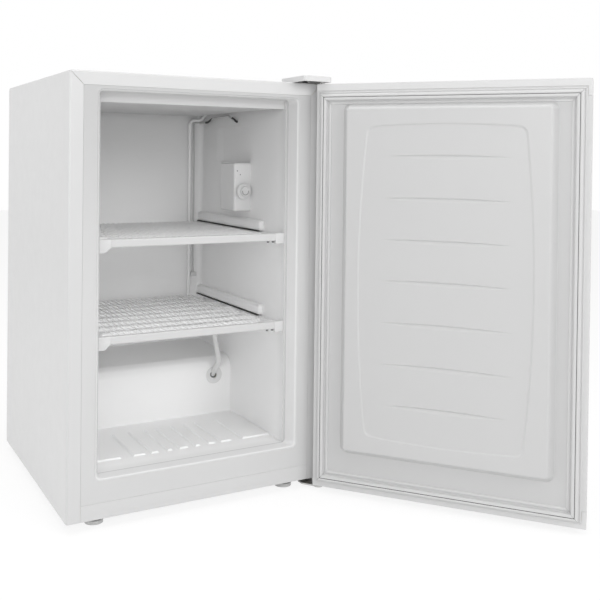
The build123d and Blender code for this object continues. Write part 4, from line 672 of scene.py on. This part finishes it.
def panel_depth(distance, level):
    """The sunk panel, whose four edges are bowed outward."""
    near, far, low, high = PANEL
    lean = (level - (low + high) / 2) / ((high - low) / 2)
    bend = (distance - (near + far) / 2) / ((far - near) / 2)
    bow = PANEL_BOW * (1 - lean * lean)
    rise = PANEL_RISE * (1 - bend * bend)
    sides = smaller(distance - near + bow, far + bow - distance, 4)
    ends = smaller(level - low + rise, high + rise - level, 4)
    step = min(max(smaller(sides, ends, 16) / PANEL_WALL, 0), 1)
    return PANEL_DEPTH * step * step * (3 - 2 * step)


def leaf_depth(distance, level, leaf):
    """One leaf-shaped groove: shallow and narrow at its ends, and deepest above its middle."""
    reach = LEAF_REACH - LEAF_SHORTER * (leaf in (LEAVES[0], LEAVES[-1]))
    taper = 1 - ((distance - LEAF_MIDDLE) / reach) ** 2
    if taper <= 0 or abs(level - leaf) >= LEAF_HEIGHT * taper:
        return 0
    up = (level - leaf) / (LEAF_HEIGHT * taper)
    share = (1 + up) / (1 + LEAF_VALLEY) if up < LEAF_VALLEY else (1 - up) / (1 - LEAF_VALLEY)
    return LEAF_DEPTH * taper ** 0.6 * share


def liner_height(distance, level):
    """The door liner's relief: the bulge, its sunk panel and the panel's grooves."""
    inside = bulge_inside(distance, level)
    height = smaller(-smaller(-FLANK * inside, 0, 3), BULGE_HEIGHT, 8)
    if inside < 20:
        return height
    height -= panel_depth(distance, level)
    for leaf in LEAVES:
        height -= leaf_depth(distance, level, leaf)
    return height


def ruled(start, end, fine, coarse, zones):
    """Places from start to end, closer together inside the zones."""
    places, at = [start], start
    while at < end:
        at = min(end, at + (fine if any(a - coarse < at < b for a, b in zones) else coarse))
        places.append(at)
    return places


FINE_COLUMNS = [(47, 66), (84, 110), (408, 434), (451, 470)]
FINE_ROWS = [(87, 106), (127, 143), (752, 768), (788, 807)] + [(leaf - 7, leaf + 6.5) for leaf in LEAVES]


def door_relief():
    """The door liner as one sheet of faces over a flat back, finer where the relief turns."""
    near, far, low, high = PLATE
    columns = ruled(near, far, 1.1, 6, FINE_COLUMNS)
    rows = ruled(low, high, 1.0, 5, FINE_ROWS)
    points = [on_door(c, r, liner_height(c, r)) for r in rows for c in columns]
    wide, tall = len(columns), len(rows)
    faces = [(j * wide + i, j * wide + i + 1, (j + 1) * wide + i + 1, (j + 1) * wide + i)
             for j in range(tall - 1) for i in range(wide - 1)]
    rim = list(range(wide)) + [j * wide + wide - 1 for j in range(1, tall)]
    rim += [(tall - 1) * wide + i for i in range(wide - 2, -1, -1)]
    rim += [j * wide for j in range(tall - 2, 0, -1)]
    under = len(points)
    points += [on_door(columns[k % wide], rows[k // wide], -3) for k in rim]
    for k in range(len(rim)):
        m = (k + 1) % len(rim)
        faces.append((rim[k], under + k, under + m, rim[m]))
    faces.append(tuple(under + k for k in range(len(rim))))
    mesh = bpy.data.meshes.new("door_inner_moulding")
    mesh.from_pydata(points, [], faces)
    shade(mesh, 50)
    return place("door_inner_moulding", mesh, "door", door_plastic_painted_shade, ["door_liner"])


door_relief()

GASKET = [                                      # across the strip towards the middle, and height
    (-11, 0), (-11, 1.6), (-10, 2.6), (-8.8, 2.4), (-7.8, 1.4), (-6.9, 1.6), (-6.5, 3.6), (-6.9, 5.2),
    (-6.4, 6.4), (-5.9, 9.4), (-5.0, 10.2), (-2.2, 10.3), (-1.4, 9.5), (0, 9.3), (1.4, 9.5), (2.2, 10.3),
    (5.0, 10.2), (5.9, 9.4), (6.4, 6.4), (6.9, 5.2), (6.5, 3.6), (6.9, 1.6), (8.2, 1.2), (9.6, 2.4),
    (12.2, 2.9), (14.2, 2.2), (15.2, 0.8), (15.2, 0),
]
RING, MITRE, GASKET_LIFT = (8, 504, 32, 817), 0.35, 0.02


def gasket():
    """Four strips with ridges, a hair apart at their mitres."""
    near, far, low, high = RING
    points, faces = [], []
    for side in range(4):
        first = len(points)
        for across, height in GASKET:
            box = (near + across, far - across, low + across, high - across)
            if side % 2 == 0:
                level = box[2] if side == 0 else box[3]
                ends = [(box[0] + MITRE, level), (box[1] - MITRE, level)]
            else:
                distance = box[1] if side == 1 else box[0]
                ends = [(distance, box[2] + MITRE), (distance, box[3] - MITRE)]
            points += [on_door(*end, height + GASKET_LIFT) for end in ends]
        count = len(GASKET)
        for k in range(count):
            a, b = first + 2 * k, first + 2 * ((k + 1) % count)
            faces.append((a, a + 1, b + 1, b))
        faces.append(tuple(first + 2 * k for k in range(count)))
        faces.append(tuple(first + 2 * k + 1 for k in reversed(range(count))))
    mesh = bpy.data.meshes.new("door_gasket_strips")
    mesh.from_pydata(points, [], faces)
    turn_out(mesh)
    shade(mesh, 40)
    return place("door_gasket_strips", mesh, "door", gasket_vinyl, ["door_gasket"])


gasket()

# ---------------------------------------------------------------- floor, background and light

FLOOR_REACH = 9.0                                # metres from the middle
FLOOR_GLOW, GLOW_SHARE = 1.07, 0.78              # the glow, and its share of what is seen of the floor
WORLD_LIGHT = 0.42


def seen_directly(tree):
    """1 for rays from the camera, in reflections or through clear pieces, and 0 for rays of light."""
    rays = tree.add("ShaderNodeLightPath")
    seen = tree.add("ShaderNodeMath", operation="ADD")
    tree.link(rays.outputs["Is Camera Ray"], seen.inputs[0])
    tree.link(rays.outputs["Is Glossy Ray"], seen.inputs[1])
    more = tree.add("ShaderNodeMath", operation="ADD", use_clamp=True)
    tree.link(seen.outputs[0], more.inputs[0])
    tree.link(rays.outputs["Is Transmission Ray"], more.inputs[1])
    return more.outputs[0]


def mixed(tree, share, first, second, target):
    """Mixes two shaders by the share, into the target."""
    mix = tree.add("ShaderNodeMixShader")
    tree.link(share, mix.inputs[0])
    tree.link(first.outputs[0], mix.inputs[1])
    tree.link(second.outputs[0], mix.inputs[2])
    tree.link(mix.outputs[0], target)


def floor_material():
    """Pale and matt, and white where it is seen, so that only the shadow shows."""
    material = bpy.data.materials.new("floor_white")
    material.use_nodes = True
    tree = Nodes(material.node_tree)
    shader = material.node_tree.nodes["Principled BSDF"]
    shader.inputs["Base Color"].default_value = (0.86, 0.86, 0.86, 1)
    shader.inputs["Roughness"].default_value = 0.9
    glow = tree.add("ShaderNodeEmission", {"Color": (1, 1, 1, 1), "Strength": FLOOR_GLOW})
    share = tree.add("ShaderNodeMath", operation="MULTIPLY")
    tree.link(seen_directly(tree), share.inputs[0])
    share.inputs[1].default_value = GLOW_SHARE
    target = material.node_tree.nodes["Material Output"].inputs["Surface"]
    mixed(tree, share.outputs[0], shader, glow, target)
    return material


def ground():
    """The floor, which belongs to the stage and not to the part."""
    mesh = bpy.data.meshes.new("floor")
    shape = bmesh.new()
    bmesh.ops.create_grid(shape, x_segments=12, y_segments=12, size=FLOOR_REACH)
    shape.to_mesh(mesh)
    shape.free()
    plane = bpy.data.objects.new("floor", mesh)
    bpy.context.collection.objects.link(plane)
    mesh.materials.append(floor_material())


def backdrop():
    """A world that is white where it is seen, and lights the scene more softly."""
    world = bpy.data.worlds.new("studio")
    world.use_nodes = True
    bpy.context.scene.world = world
    tree = Nodes(world.node_tree)
    sky = world.node_tree.nodes["Background"]
    sky.inputs["Color"].default_value = (1, 1, 1, 1)
    sky.inputs["Strength"].default_value = WORLD_LIGHT
    white = tree.add("ShaderNodeBackground", {"Color": (1, 1, 1, 1), "Strength": 1.0})
    target = world.node_tree.nodes["World Output"].inputs["Surface"]
    mixed(tree, seen_directly(tree), sky, white, target)


ground()
backdrop()


def softbox(name, spot, target, size, power):
    """A rectangular lamp at a spot, turned to its target."""
    data = bpy.data.lights.new(name, "AREA")
    data.shape = "RECTANGLE"
    data.size, data.size_y = size
    data.energy = power
    lamp = bpy.data.objects.new(name, data)
    bpy.context.collection.objects.link(lamp)
    lamp.location = spot
    lamp.rotation_euler = (Vector(target) - Vector(spot)).to_track_quat("-Z", "Y").to_euler()


softbox("top_light", (0.0, -0.3, 3.2), (0, 0, 0.4), (3.0, 3.0), 44)
softbox("left_light", (-3.4, 0.3, 0.8), (0, 0, 0.45), (2.4, 2.0), 32)
softbox("front_right_light", (2.3, -3.0, 1.8), (0, 0.0, 0.35), (1.4, 1.2), 14)
softbox("front_light", (0.9, -3.3, 1.8), (-0.05, 0.1, 0.35), (1.4, 1.0), 21)
softbox("front_left_light", (-1.7, -3.0, 1.2), (0.1, 0.1, 0.35), (1.6, 1.4), 18)
softbox("front_low_light", (-0.7, -3.2, 0.55), (0, 0.2, 0.45), (1.2, 0.5), 4)
